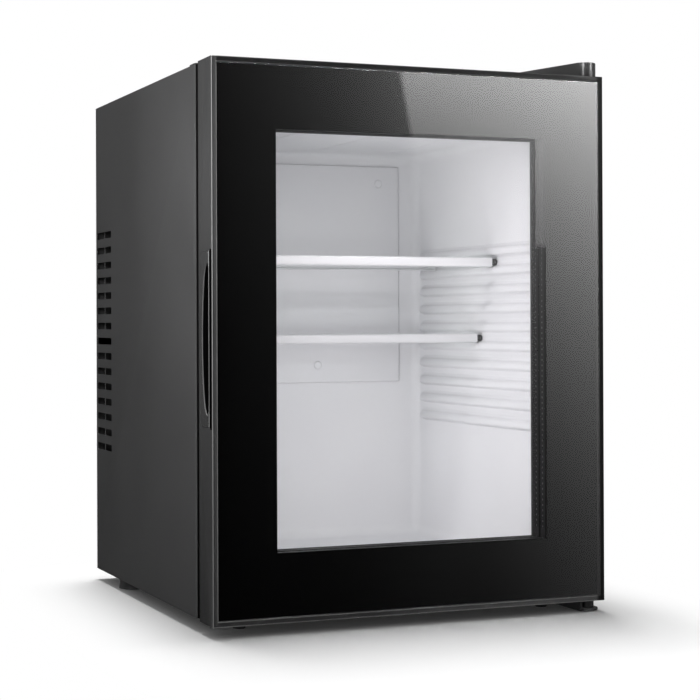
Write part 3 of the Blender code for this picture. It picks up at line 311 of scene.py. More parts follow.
cloth = Surface("mirrored_tent")
turn, height = turn_of(cloth), cloth.place("Z")
near = height.within(*PANEL_HEIGHTS)
dim = panel(DIM_FIT, turn.within(*DIM_TURNS), near)
bright = panel(BRIGHT_FIT, turn.within(*BRIGHT_TURNS), near)
softness = EDGE_SOFTNESS - EDGE_CRISPER * height.rise(*CRISPER_HEIGHTS)
lit = ((turn - (EDGE_TURN - EDGE_SLANT * height)) / softness).rise(-1.0, 1.0)
share = turn.rise(*PANEL_LEFT) * turn.fall(*PANEL_RIGHT)
glow = share * (lit * bright + (1.0 - lit) * dim) + (1.0 - share) * graded(height, slope=0.9, start=-3.0)
mirrored_tent = tent("mirrored_tent", MIRRORED_RADIUS, cloth, glow, 1.0)
cloth = Surface("dim_tent")
turn, height = turn_of(cloth), cloth.place("Z")
strips = (strip(turn, *LEFT_STRIP) + strip(turn, *RIGHT_STRIP)) * graded(height, slope=1.5, start=1.1)
glow = graded(height, slope=1.2, start=-2.9) + strips + REAR_STRENGTH * strip(turn, *REAR_LIGHT)
dim_tent = tent("dim_tent", DIM_RADIUS, cloth, glow, 0.0)


# The cabinet's outer sheets are thin steel with a satin dark grey powder coat. The side panels are folded
# round the front corners and have fifteen vent slots near the back. The top, base and back are flat sheets
# between them.
# The grey of painted highlights, the black of painted shade and the height of the grain's relief.
PAINTED_HIGHLIGHT_GREY, PAINTED_SHADE_BLACK, RELIEF = 0.16, 0.002, 0.0004
DRIFT_SCALE, DRIFT_RANGE, GRAIN_SHARE = 9.0, (0.3, 0.7), 0.55
GLOSS_DRIFT, GLOSS_GRAIN = 0.08, 0.04


def finish(
    name, dark, light, rough, grain=1500.0, swell=150.0, depth=0.15, stretch=(1.0, 1.0, 1.0), deep=None,
    painted_highlight=None, **sockets
):
    """A finish with a slow drift of tone and gloss, a fine grain and a slight swell of its surface.

    Its shade mask says where painted shade turns the surface black, and its highlight mask where a painted
    highlight turns it pale grey.
    """
    made = Surface(name)
    drift = made.noise(DRIFT_SCALE, 3.0, stretch)
    fine = made.noise(grain, 2.0, stretch)
    broad = made.noise(swell, 2.0, stretch)
    relief = GRAIN_SHARE * fine + (1.0 - GRAIN_SHARE) * broad
    normal = made.add("ShaderNodeBump", {}, {"Strength": depth, "Distance": RELIEF, "Height": relief})
    colour = made.blend(drift.rise(*DRIFT_RANGE), (*dark, 1.0), (*light, 1.0))
    # Painted highlight: the base colour turns pale grey where the highlight mask says.
    inputs = {
        "Base Color": made.blend(painted_highlight(made), colour, grey(PAINTED_HIGHLIGHT_GREY)) if painted_highlight else colour,
        "Roughness": rough - (GLOSS_DRIFT + GLOSS_GRAIN) / 2 + GLOSS_DRIFT * drift + GLOSS_GRAIN * fine,
        "Normal": normal,
    }
    inputs.update({name.replace("_", " "): value for name, value in sockets.items()})
    shader = made.add("ShaderNodeBsdfPrincipled", {}, inputs)
    # Painted shade: a black diffuse shader is mixed in where the shade mask says.
    if deep:
        shade = made.add("ShaderNodeBsdfDiffuse", {}, {"Color": grey(PAINTED_SHADE_BLACK)})
        shader = made.add("ShaderNodeMixShader", {}, {0: deep(made), 1: shader, 2: shade})
    return made.end(shader)


def merged_copy(node):
    """A CAD part's shape with its loose triangles merged into whole faces."""
    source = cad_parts[node].data
    work = bmesh.new()
    for corner in source.vertices:
        work.verts.new(corner.co)
    work.verts.ensure_lookup_table()
    for face in source.polygons:
        work.faces.new([work.verts[k] for k in face.vertices])
    return merged(work)


def merged(work):
    bmesh.ops.remove_doubles(work, verts=work.verts, dist=2e-6)
    bmesh.ops.dissolve_limit(work, angle_limit=math.radians(0.4), verts=work.verts, edges=work.edges)
    return work


def bevelled(work, name, width, coat, steps=2, angle=38.0):
    """A piece with its sharp edges rounded."""
    weights = work.edges.layers.float.new("bevel_weight_edge")
    for edge in work.edges:
        sharp = len(edge.link_faces) == 2 and edge.calc_face_angle(0.0) > math.radians(angle)
        edge[weights] = 1.0 if sharp else 0.0
    mesh = bpy.data.meshes.new(name)
    work.to_mesh(mesh)
    work.free()
    made = shown_piece(name, mesh, coat)
    edges = made.modifiers.new("edges", "BEVEL")
    edges.width, edges.segments, edges.limit_method = width, steps, "WEIGHT"
    edges.harden_normals = True
    edges.miter_outer = "MITER_ARC"
    for face in mesh.polygons:
        face.use_smooth = True
    return flattened(made)


def rounded_edges(node, name, body, slot, width, coat, steps=2, angle=38.0):
    """A copy of a CAD part with its sharp edges rounded, which stands for that part."""
    return ride_on(bevelled(merged_copy(node), name, width, coat, steps, angle), body, slot, node)


def flattened(piece):
    """Turns what a piece's modifiers make into its own mesh."""
    bpy.context.view_layer.update()
    graph = bpy.context.evaluated_depsgraph_get()
    shape = piece.evaluated_get(graph)
    mesh = bpy.data.meshes.new_from_object(shape, preserve_all_data_layers=True, depsgraph=graph)
    piece.modifiers.clear()
    piece.data = mesh
    return piece


def ride_on(piece, body, slot, *stands_for):
    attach(piece, body)
    if stands_for:
        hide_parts(*stands_for)
    return piece


ROUND = 0.0003
CABINET_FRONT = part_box("side_panel_left")[0].y
BEND_SIDE, BEND_DEPTH = (0.1935, 0.1945), (CABINET_FRONT + 0.0020, CABINET_FRONT + 0.0026)


def painted_gap_shade(made):
    """Painted shade: the front corner that the side panels turn in behind the door is painted black, where
    the door gap lies in shadow.
    """
    return made.place("X").unsigned().rise(*BEND_SIDE) * made.place("Y").fall(*BEND_DEPTH)


# The powder coat's painted shade is black on the side panels' turned-in front corners.
powder_coat = finish(
    "dark_powder_coat", (0.0255, 0.0255, 0.0258), (0.031, 0.031, 0.0314), 0.44, 2100.0, 260.0, 0.16,
    deep=painted_gap_shade,
)
for side in ("left", "right"):
    rounded_edges(f"side_panel_{side}", f"{side}_side_sheet", "cabinet", "painted_steel", ROUND, powder_coat)
rounded_edges("top_panel", "top_sheet", "cabinet", "painted_steel", ROUND, powder_coat)
rounded_edges("base_pan", "base_sheet", "cabinet", "painted_steel", ROUND, powder_coat)

# The strip along the top's front edge is moulded black plastic, snapped over the front of the sheets. The
# fan, the power box and the hinge bushes are of the same plastic.
black_plastic = finish(
    "moulded_black_plastic", (0.022, 0.022, 0.0222), (0.027, 0.027, 0.0273), 0.30, 1700.0, 220.0, 0.10
)
rounded_edges("top_front_rail", "top_front_strip", "cabinet", "black_plastic", 0.0002, black_plastic)

# The liner is one vacuum-formed tub of white plastic with a flange round its mouth and soft corners. Ten
# ridges a side carry the shelves, and their feet run into the wall as forming leaves them.
LINER_HALF, LINER_WALL, LINER_CORNER = 0.151, 0.002, 0.011
LINER_FLOOR, LINER_CEILING = 0.044, 0.471
MOUTH_ROUND = 0.002
RIDGE_COUNT, RIDGE_PITCH, RIDGE_MIDDLE = 10, 0.0196, 0.1792
RIDGE_GAP, RIDGE_SHOULDER, RIDGE_NOSE, RIDGE_TAIL, RIDGE_SLIMMEST = 0.0006, 0.0012, 0.003, 0.009, 0.6
RIDGE_SECTION = (
    (-0.0005, -0.0066), (0.0002, -0.0061), (0.0006, -0.0053), (0.0014, -0.0047),
    (0.0034, -0.0044), (0.0049, -0.0040), (0.0057, -0.0031), (0.0060, -0.0018),
    (0.0058, 0.0002), (0.0053, 0.0019), (0.0044, 0.0032), (0.0033, 0.0040),
    (0.0021, 0.0045), (0.0013, 0.0051), (0.0007, 0.0061), (-0.0005, 0.0090),
)
white_plastic = finish(
    "white_liner_plastic", (0.755, 0.757, 0.775), (0.785, 0.787, 0.80), 0.42, 700.0, 45.0, 0.05
)


class Growth(Tree):
    """A geometry tree with named sizes, which makes plain pieces from a start mesh."""

    KINDS = {int: "NodeSocketInt", float: "NodeSocketFloat", tuple: "NodeSocketVector"}

    def __init__(self, name, **sizes):
        super().__init__(bpy.data.node_groups.new(name, "GeometryNodeTree"))
        ports = self.tree.interface
        ports.new_socket("start", in_out="INPUT", socket_type="NodeSocketGeometry")
        ports.new_socket("finish", in_out="INPUT", socket_type="NodeSocketMaterial")
        for label, value in sizes.items():
            ports.new_socket(label, in_out="INPUT", socket_type=self.KINDS[type(value)]).default_value = value
        ports.new_socket("made", in_out="OUTPUT", socket_type="NodeSocketGeometry")
        self.given = self.tree.nodes.new("NodeGroupInput")

    def size(self, label):
        return Term(self, self.given.outputs[label])

    def end(self, shape):
        shape = self.add("GeometryNodeRealizeInstances", {}, {"Geometry": shape})
        shape = self.add("GeometryNodeSetMaterial", {}, {"Geometry": shape, "Material": self.size("finish")})
        result = self.tree.nodes.new("NodeGroupOutput")
        self.wire(result, {"made": shape})
        return self

    def run(self, name, start, coat, body, slot, *stands_for, smooth=40.0, **sizes):
        piece = shown_piece(name, start, coat)
        grow = piece.modifiers.new("grow", "NODES")
        grow.node_group = self.tree
        for port in self.tree.interface.items_tree:
            if port.item_type == "SOCKET" and port.in_out == "INPUT" and port.name in {"finish", *sizes}:
                grow[port.identifier] = coat if port.name == "finish" else sizes[port.name]
        flattened(piece)
        piece.data.shade_smooth()
        piece.data.set_sharp_from_angle(angle=math.radians(smooth))
        return ride_on(piece, body, slot, *stands_for)


def lofted(name, *solids):
    """A mesh of closed solids, each through a row of like outlines."""
    points, faces = [], []
    for sections in solids:
        base, count = len(points), len(sections[0])
        last = base + count * (len(sections) - 1)
        faces += [tuple(range(base, base + count)), tuple(range(last + count - 1, last - 1, -1))]
        for k in range(count):
            after = (k + 1) % count
            rows = range(base, last, count)
            faces += [(row + k, row + count + k, row + count + after, row + after) for row in rows]
        points += [point for section in sections for point in section]
    mesh = bpy.data.meshes.new(name)
    mesh.from_pydata(points, [], faces)
    return facing_out(mesh)


def facing_out(mesh):
    work = bmesh.new()
    work.from_mesh(mesh)
    bmesh.ops.recalc_face_normals(work, faces=work.faces)
    work.to_mesh(mesh)
    work.free()
    return mesh


low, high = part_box("inner_liner")
liner_front, liner_back = low.y, high.y - LINER_WALL
middle_z = (LINER_FLOOR + LINER_CEILING) / 2
tub = bmesh.new()
bmesh.ops.create_cube(tub, size=1.0)
for corner in tub.verts:
    corner.co.x *= 2 * LINER_HALF
    corner.co.y = liner_front if corner.co.y < 0 else liner_back
    corner.co.z = LINER_FLOOR if corner.co.z < 0 else LINER_CEILING
mouth = [face for face in tub.faces if face.normal.y < -0.5]
bmesh.ops.delete(tub, geom=mouth, context="FACES_ONLY")
folds = [edge for edge in tub.edges if not edge.is_boundary]
bmesh.ops.bevel(tub, geom=folds, offset=LINER_CORNER, segments=6, profile=0.5, affect="EDGES")
rim = [edge for edge in tub.edges if edge.is_boundary]
grown = bmesh.ops.extrude_edge_only(tub, edges=rim)["geom"]
for corner in grown:
    if isinstance(corner, bmesh.types.BMVert):
        corner.co.x *= high.x / LINER_HALF
        from_middle = (corner.co.z - middle_z) / (LINER_CEILING - LINER_FLOOR)
        corner.co.z = (low.z + high.z) / 2 + from_middle * (high.z - low.z)
bmesh.ops.bevel(tub, geom=rim, offset=MOUTH_ROUND, segments=3, profile=0.5, affect="EDGES")
bmesh.ops.recalc_face_normals(tub, faces=tub.faces)
inner_face = min(tub.faces, key=lambda face: abs(face.calc_center_median().x - LINER_HALF) - face.calc_area())
if inner_face.normal.dot(Vector((0.0, 0.0, middle_z)) - inner_face.calc_center_median()) < 0:
    bmesh.ops.reverse_faces(tub, faces=tub.faces)
tub_mesh = bpy.data.meshes.new("liner_tub")
tub.to_mesh(tub_mesh)
tub.free()
for face in tub_mesh.polygons:
    face.use_smooth = True
liner = shown_piece("liner_tub", tub_mesh, white_plastic)
wall = liner.modifiers.new("wall", "SOLIDIFY")
wall.thickness, wall.offset = LINER_WALL, -1.0
flattened(liner)
liner.data.set_sharp_from_angle(angle=math.radians(50.0))
ride_on(liner, "cabinet", "white_plastic", "inner_liner")


def mirrored(sections):
    """The same outlines on the other side of the middle."""
    return [[(-x, y, z) for x, y, z in section] for section in sections]


ridge_front, ridge_back = liner_front + RIDGE_GAP, liner_back - RIDGE_TAIL
stations = [(ridge_front, 0.55), (ridge_front + RIDGE_SHOULDER, 0.85), (ridge_front + RIDGE_NOSE, 1.0)]
stations += [(ridge_back - RIDGE_TAIL, 1.0), (ridge_back - RIDGE_TAIL / 2, 0.62), (ridge_back, 0.12)]
sections = []
for y, share in stations:
    slim = RIDGE_SLIMMEST + (1.0 - RIDGE_SLIMMEST) * share
    outline = [(x * share if x > 0 else x, z * slim) for x, z in RIDGE_SECTION]
    sections.append([(LINER_HALF - x, y, RIDGE_MIDDLE + z) for x, z in outline])
row = Growth("row", count=10, step=(0.0, 0.0, 0.02))
points = row.add("GeometryNodeMeshLine", {}, {"Count": row.size("count"), "Offset": row.size("step")})
row.end(row.add("GeometryNodeInstanceOnPoints", {}, {"Points": points, "Instance": row.size("start")}))
ridge_pair = lofted("ridge_pair", sections, mirrored(sections))
row.run(
    "liner_ridges", ridge_pair, white_plastic, "cabinet", "white_plastic",
    count=RIDGE_COUNT, step=(0.0, 0.0, RIDGE_PITCH),
)

# Three shallow beads stiffen the liner's ceiling. They are formed with the tub, of the same white sheet, and
# run from front to back.
BEAD_X, BEAD_STEP, BEAD_COUNT = -0.064, 0.0845, 3
BEAD_HALF, BEAD_DEPTH, BEAD_ROOT = 0.0022, 0.0007, 0.0005
BEAD_FRONT, BEAD_BACK, BEAD_END = -0.088, 0.092, 0.004
BEAD_SECTION = ((-1.4, 0.0), (-1.0, 0.2), (-0.5, 0.85), (0.0, 1.0), (0.5, 0.85), (1.0, 0.2), (1.4, 0.0))
stations = [(BEAD_FRONT, 0.1), (BEAD_FRONT + BEAD_END, 1.0), (BEAD_BACK - BEAD_END, 1.0), (BEAD_BACK, 0.1)]
sections = []
for y, share in stations:
    outline = [(x, share * BEAD_DEPTH * z if z else -BEAD_ROOT) for x, z in BEAD_SECTION]
    sections.append([(BEAD_X + x * BEAD_HALF, y, LINER_CEILING - z) for x, z in outline])
row.run(
    "ceiling_beads", lofted("ceiling_bead", sections), white_plastic, "cabinet", "white_plastic",
    count=BEAD_COUNT, step=(BEAD_STEP, 0.0, 0.0),
)

# The panel over the cold sink is moulded white plastic, screwed to the liner's back wall. Four round caps of
# the same plastic are pressed in over its screws.
rounded_edges("cold_sink_cover", "cold_air_panel", "cabinet", "white_plastic", 0.0006, white_plastic, 3)
for cap in ("upper_left", "upper_right", "lower_left", "lower_right"):
    node, name = f"screw_cap_{cap}", f"panel_cap_{cap}"
    rounded_edges(node, name, "cabinet", "white_plastic", 0.0005, white_plastic, 3)

# A frosted lens of ribbed clear plastic is clipped in the liner's ceiling over the lamp. The lamp is on. One
# soft light stands for it, and another for what the white walls throw back.
FROST_SCALE, FROST_DEPTH, LENS_GLOW = 1500.0, 0.0003, 3.0
lens = Surface("frosted_lens")
frost = lens.noise(FROST_SCALE)
lens_normal = lens.add("ShaderNodeBump", {}, {"Strength": 0.3, "Distance": FROST_DEPTH, "Height": frost})
lens_colour = lens.blend(lens.noise(60.0), grey(0.93), grey(0.97))
inputs = {"Base Color": lens_colour, "Roughness": 0.5, "Normal": lens_normal}
inputs.update({"Emission Color": lens_colour, "Emission Strength": LENS_GLOW})
lens_finish = lens.end(lens.add("ShaderNodeBsdfPrincipled", {}, inputs))
rounded_edges("lamp_lens", "lamp_cover", "cabinet", "lens_plastic", 0.0005, lens_finish)
low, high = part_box("lamp_lens")
middle = (low + high) / 2
LENS_RIBS, LENS_PITCH, RIB_SINK, RIB_END, RIB_SLOPE, RIB_TAPER = 25, 0.0033, 0.0004, 0.0016, 0.0006, 0.7
RIB_SECTION = (
    (-0.0014, 0.0006), (-0.0012, 0.0001), (-0.0006, -0.0003),
    (0.0006, -0.0003), (0.0012, 0.0001), (0.0014, 0.0006),
)
rib_x, rib_z = middle.x - LENS_PITCH * (LENS_RIBS - 1) / 2, low.z + RIB_SINK
rib_front, rib_back = low.y + RIB_END, high.y - RIB_END
stations = [(rib_front, RIB_TAPER), (rib_front + RIB_SLOPE, 1.0)]
stations += [(rib_back - RIB_SLOPE, 1.0), (rib_back, RIB_TAPER)]
sections = [[(rib_x + x * share, y, rib_z + z) for x, z in RIB_SECTION] for y, share in stations]
row.run(
    "lens_ribs", lofted("lens_rib", sections), lens_finish, "cabinet", "lens_plastic",
    count=LENS_RIBS, step=(LENS_PITCH, 0.0, 0.0),
)
lamp(
    "inner_lamp", spot=(middle.x, middle.y, low.z - 0.003), target=(middle.x, middle.y + 0.10, 0.0),
    sides=(0.10, 0.015), power=0.13,
)
window_light = lamp(
    "window_light", spot=(-0.105, -0.150, 0.205), target=(0.695, 0.45, 0.15), sides=(0.05, 0.30), power=0.34
)
window_light.data.spread = math.radians(130.0)

# The cooling unit behind the liner: an aluminium cold sink, the thermoelectric module, a finned heat sink and
# a fan. Below it are the box of the power board and the mains inlet with its three pins. The foam round the
# liner is painted black at the back, where the vents show it, as painted shade for the dark inside of the
# vents.
mill_aluminium = finish(
    "mill_aluminium", (0.66, 0.67, 0.68), (0.74, 0.75, 0.76), 0.38, 900.0, 200.0, 0.2, (1.0, 1.0, 0.04),
    Metallic=1.0,
)
white_ceramic = finish("module_ceramic", (0.84, 0.84, 0.82), (0.90, 0.90, 0.88), 0.55)
# Painted shade: the last seven millimetres of the foam's back are painted nearly black, fading in over one
# more millimetre.
BACK_SHADE_DEPTH, BACK_SHADE_FADE, BACK_SHADE_SHARE = 0.0070, 0.0010, 0.94
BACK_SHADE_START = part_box("insulation_foam")[1].y - BACK_SHADE_DEPTH
rigid_foam = finish(
    "rigid_foam", (0.74, 0.64, 0.38), (0.84, 0.74, 0.46), 0.9, 800.0, 200.0, 0.5,
    deep=lambda made: BACK_SHADE_SHARE * made.place("Y").rise(BACK_SHADE_START - BACK_SHADE_FADE, BACK_SHADE_START),
)
rounded_edges("cold_sink", "cold_sink_block", "cabinet", "aluminium", ROUND, mill_aluminium)
rounded_edges("thermoelectric_module", "module_tile", "cabinet", "ceramic", 0.0002, white_ceramic)
rounded_edges("heat_sink", "heat_sink_fins", "cabinet", "aluminium", 0.0002, mill_aluminium)
rounded_edges("fan_frame", "fan_housing", "cabinet", "black_plastic", 0.0004, black_plastic)
rounded_edges("fan_rotor", "fan_wheel", "fan", "black_plastic", ROUND, black_plastic)
rounded_edges("power_board_box", "power_box", "cabinet", "black_plastic", 0.001, black_plastic)
rounded_edges("mains_inlet", "inlet_socket", "cabinet", "black_plastic", 0.0006, black_plastic)
plated_pin = finish(
    "plated_pin", (0.60, 0.60, 0.58), (0.68, 0.68, 0.66), 0.28, 1200.0, 90.0, 0.08, Metallic=1.0
)
low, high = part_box("mains_inlet")
socket = Vector(((low.x + high.x) / 2, high.y, (low.z + high.z) / 2))
PIN_HALF_WIDTH, PIN_HALF_HEIGHT, PIN_ROOT, PIN_TIP = 0.0010, 0.0020, -0.0155, -0.0045
PIN_SPOTS = ((-0.0070, -0.0022), (0.0, 0.0022), (0.0070, -0.0022))
PIN_STATIONS = ((PIN_ROOT, 1.0), (PIN_TIP - 0.001, 1.0), (PIN_TIP - 0.0003, 0.8), (PIN_TIP, 0.45))
pins = []
for across, rise in PIN_SPOTS:
    x, z = socket.x + across, socket.z + rise
    sections = []
    for y, share in PIN_STATIONS:
        half_x, half_z = PIN_HALF_WIDTH * share, PIN_HALF_HEIGHT * (0.5 + 0.5 * share)
        around = ((-half_x, -half_z), (half_x, -half_z), (half_x, half_z), (-half_x, half_z))
        sections.append([(x + a, socket.y + y, z + b) for a, b in around])
    pins.append(sections)
ride_on(shown_piece("inlet_pins", lofted("inlet_pins", *pins), plated_pin), "cabinet", "bare_metal")
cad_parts["insulation_foam"].data.materials.clear()
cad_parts["insulation_foam"].data.materials.append(rigid_foam)

# Four black rubber feet are pressed into the base: two wide ones at the back and two narrow ones at the
# front.
foot_rubber = finish("foot_rubber", (0.020, 0.020, 0.021), (0.027, 0.027, 0.028), 0.62, 1300.0, 300.0, 0.3)
for spot in ("front_foot_left", "front_foot_right", "rear_foot_left", "rear_foot_right"):
    rounded_edges(spot, f"{spot}_rubber", "cabinet", "foot_rubber", 0.0008, foot_rubber, 3)

# The door hangs on two brackets of blackened steel. The upper one is under a moulded cover on the top, and
# the lower one is a cranked strap under the door's right corner. Each is held by two plated screws.
zinc_plate = finish(
    "zinc_plate", (0.55, 0.56, 0.57), (0.64, 0.65, 0.66), 0.30, 1200.0, 90.0, 0.08, Metallic=1.0
)
cover_plastic = finish(
    "hinge_cover_plastic", (0.050, 0.050, 0.0505), (0.060, 0.060, 0.0605), 0.30, 1700.0, 220.0, 0.08
)
rounded_edges("upper_hinge_cover", "hinge_cover", "cabinet", "black_plastic", 0.0016, cover_plastic, 4)
black_steel = finish("blackened_steel", (0.010, 0.010, 0.011), (0.016, 0.016, 0.017), 0.5)
rounded_edges("upper_hinge_bracket", "hinge_strap_upper", "cabinet", "bare_metal", ROUND, black_steel)
rounded_edges("lower_hinge_bracket", "hinge_strap_lower", "cabinet", "painted_steel", 0.0004, black_steel)
for pin in ("upper", "lower"):
    rounded_edges(f"{pin}_hinge_pin", f"{pin}_pin", "cabinet", "bare_metal", ROUND, black_steel)
    rounded_edges(f"{pin}_hinge_bush", f"{pin}_bush", "door", "black_plastic", ROUND, black_plastic)
    for number in (1, 2):
        node, name = f"{pin}_hinge_screw_{number}", f"{pin}_screw_{number}"
        rounded_edges(node, name, "cabinet", "bare_metal", ROUND, zinc_plate)

# The rear cover is a flat steel sheet. Eight cross-head screws near its side edges hold it, with their heads
# let into shallow dimples, so that nothing stands out at the back.
SCREW_X, SCREW_LOWEST, SCREW_STEP, SCREW_ROWS = 0.181, 0.038, 0.152, 4
DIMPLE = ((-0.0008, 0.0040), (0.0010, 0.0052))
HEAD = ((-0.0011, 0.0033), (-0.0006, 0.0035), (-0.0003, 0.0031), (-0.00015, 0.0023))
CROSS_LONG, CROSS_WIDE, CROSS_ENDS, DISC_SIDES = 0.0020, 0.00045, (-0.0008, 0.0010), 20
REAR_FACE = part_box("rear_cover")[1].y


def disc(x, z, profile):
    """A turned solid on the rear cover, from (depth, radius) pairs."""
    angles = [math.tau * k / DISC_SIDES for k in range(DISC_SIDES)]
    return [[(x + r * math.cos(t), REAR_FACE + y, z + r * math.sin(t)) for t in angles] for y, r in profile]


def cross(x, z):
    long, wide = CROSS_LONG, CROSS_WIDE
    arm = ((long, wide), (wide, wide), (wide, long), (-wide, long), (-wide, wide), (-long, wide))
    around = arm + tuple((-a, -b) for a, b in arm)
    return [[(x + a, REAR_FACE + y, z + b) for a, b in around] for y in CROSS_ENDS]


def cut_away(work, cutter, coat):
    """A bmesh less a solid, which is then removed."""
    mesh = bpy.data.meshes.new("uncut")
    work.to_mesh(mesh)
    work.free()
    piece = shown_piece("uncut", mesh, coat)
    tool = shown_piece("cutter", cutter, coat)
    cut = piece.modifiers.new("cut", "BOOLEAN")
    cut.operation, cut.solver, cut.object = "DIFFERENCE", "EXACT", tool
    flattened(piece)
    left = bmesh.new()
    left.from_mesh(piece.data)
    bpy.data.objects.remove(piece)
    bpy.data.objects.remove(tool)
    return merged(left)


spots = [(x, SCREW_LOWEST + k * SCREW_STEP) for x in (-SCREW_X, SCREW_X) for k in range(SCREW_ROWS)]
dimples = lofted("dimples", *[disc(x, z, DIMPLE) for x, z in spots])
rear_sheet = cut_away(merged_copy("rear_cover"), dimples, powder_coat)
ride_on(bevelled(rear_sheet, "rear_sheet", ROUND, powder_coat), "cabinet", "painted_steel", "rear_cover")
heads = bmesh.new()
heads.from_mesh(lofted("screw_heads", *[disc(x, SCREW_LOWEST, HEAD) for x in (-SCREW_X, SCREW_X)]))
crosses = lofted("crosses", *[cross(x, SCREW_LOWEST) for x in (-SCREW_X, SCREW_X)])
head_mesh = bpy.data.meshes.new("screw_heads")
cut_away(heads, crosses, zinc_plate).to_mesh(head_mesh)
row.run(
    "rear_cover_screws", head_mesh, zinc_plate, "cabinet", "bare_metal",
    count=SCREW_ROWS, step=(0.0, 0.0, SCREW_STEP),
)

# The door frame is four black plastic profiles, welded at their ends so that no seam shows, with a narrow lip
# round the glass. A glossy black finger grip sits in the left profile, with a rounded rim round its slot.
RAIL_END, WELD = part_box("door_rail_top")[1].x, 0.0008
GRIP_LOW, GRIP_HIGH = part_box("handle_insert")
STILE_LOW, STILE_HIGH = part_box("door_stile_left")
DOOR_SIDE, DOOR_FRONT = STILE_LOW.x, STILE_LOW.y
HALF_DOOR, HALF_DOOR_HEIGHT = -DOOR_SIDE, (STILE_HIGH.z - STILE_LOW.z) / 2
DOOR_MIDDLE = (STILE_HIGH.z + STILE_LOW.z) / 2
LIP_WIDTH = 0.005


def welded(*nodes):
    """CAD parts whose ends are pushed into each other and joined to one solid."""
    pieces = []
    for node in nodes:
        work = merged_copy(node)
        for corner in work.verts:
            if abs(abs(corner.co.x) - RAIL_END) < 1e-5:
                corner.co.x += math.copysign(WELD, corner.co.x)
        mesh = bpy.data.meshes.new(node)
        work.to_mesh(mesh)
        work.free()
        pieces.append(shown_piece(f"{node}_profile", mesh, black_plastic))
    for piece in pieces[1:]:
        union = pieces[0].modifiers.new("union", "BOOLEAN")
        union.operation, union.solver, union.object = "UNION", "EXACT", piece
    flattened(pieces[0])
    work = bmesh.new()
    work.from_mesh(pieces[0].data)
    for piece in pieces:
        bpy.data.objects.remove(piece)
    return merged(work)


# The bounds of the frame's painted shade and painted highlights.
GROOVE_LOW, GROOVE_HIGH = (GRIP_LOW.z - 0.002, GRIP_LOW.z - 0.001), (GRIP_HIGH.z + 0.001, GRIP_HIGH.z + 0.002)
GROOVE_INNER, GROOVE_FRONT = (-0.183, -0.182), (DOOR_FRONT + 0.0010, DOOR_FRONT + 0.0014)
GROOVE_BACK = (GRIP_LOW.y, GRIP_LOW.y + 0.0004)
POCKET_SIDE = (DOOR_SIDE + 0.0012, DOOR_SIDE + 0.0020)
POCKET_FRONT = (GRIP_LOW.y - 0.0022, GRIP_LOW.y - 0.0020)
RIGHT_LIP, RIGHT_LIP_SHADE = (0.190, 0.194), 0.88
TOP_LIP, TOP_START, TOP_LIP_SHADE = (0.510, 0.514), (-0.196, -0.194), 0.6
FRONT_FACE, LEFT_FACE = (DOOR_FRONT + 0.0002, DOOR_FRONT + 0.0004), (DOOR_FRONT, DOOR_FRONT + 0.0004)
OUTER_RIM, OUTER_DEPTH = (0.0006, 0.0009), (DOOR_FRONT + 0.0005, DOOR_FRONT + 0.0009)
INNER_RIM, INNER_DEPTH = (LIP_WIDTH - 0.0009, LIP_WIDTH - 0.0006), (DOOR_FRONT + 0.0006, DOOR_FRONT + 0.0008)
LEFT_LIP, LEFT_INSET, LEFT_PAINTED_SHEEN = (-0.196, -0.195), (0.0018, 0.0022), 0.14


def frame_painted_shade(made):
    """Painted shade: the groove before the finger grip and the pocket round it are painted black, and the
    lip's front is painted darker away from the left edge.
    """
    side, front, up = (made.place(axis) for axis in "XYZ")
    groove = up.rise(*GROOVE_LOW) * up.fall(*GROOVE_HIGH) * side.fall(*GROOVE_INNER)
    pocket = side.rise(*POCKET_SIDE) * front.rise(*POCKET_FRONT)
    line = front.rise(*GROOVE_FRONT) * front.fall(*GROOVE_BACK)
    top = TOP_LIP_SHADE * (up.rise(*TOP_LIP) * side.rise(*TOP_START))
    lip_shade = top.or_more(RIGHT_LIP_SHADE * side.rise(*RIGHT_LIP)) * front.fall(*FRONT_FACE)
    return lip_shade.or_more(groove * pocket.or_more(line))


def frame_painted_highlights(made):
    """Painted highlights on the frame's outer front corner and the inner edge of its lip, and a faint painted
    sheen on the left lip.
    """
    side, front, up = (made.place(axis) for axis in "XYZ")
    inset = (HALF_DOOR - side.unsigned()).or_less(HALF_DOOR_HEIGHT - (up - DOOR_MIDDLE).unsigned())
    outer = inset.fall(*OUTER_RIM) * front.fall(*OUTER_DEPTH)
    inner = inset.rise(*INNER_RIM) * front.fall(*INNER_DEPTH)
    sheen = LEFT_PAINTED_SHEEN * (side.fall(*LEFT_LIP) * (inset.rise(*LEFT_INSET) * front.fall(*LEFT_FACE)))
    return outer.or_more(inner.or_more(sheen))


# The frame's finish is painted black in its shadowed groove, darker on its top and right lips, and pale along
# its edges as highlights.
frame_plastic = finish(
    "door_frame_plastic", (0.019, 0.019, 0.0192), (0.023, 0.023, 0.0233), 0.30, 1700.0, 220.0, 0.08,
    deep=frame_painted_shade, painted_highlight=frame_painted_highlights,
)
profiles = ("door_stile_left", "door_rail_top", "door_stile_right", "door_rail_bottom")
door_frame = bevelled(welded(*profiles), "door_frame", 0.0006, frame_plastic, 3)
ride_on(door_frame, "door", "black_plastic", *profiles)
SLOT_HALF, SLOT_BOW, SLOT_END_BOW, SLOT_DEPTH, SLOT_POINTS = 0.0686, 0.0204, 0.0125, 0.015, 48
END_FULLNESS, END_LEAN, SLOT_OVERCUT = 12, 0.35, 0.002
SLOT_FRONT, GRIP_LIP = DOOR_FRONT + 0.010, DOOR_FRONT + 0.008
SLOT_INSIDE, LIP_WALL = (DOOR_SIDE + 0.0009, DOOR_SIDE + 0.0013), (GRIP_LIP + 0.0003, GRIP_LIP + 0.0006)
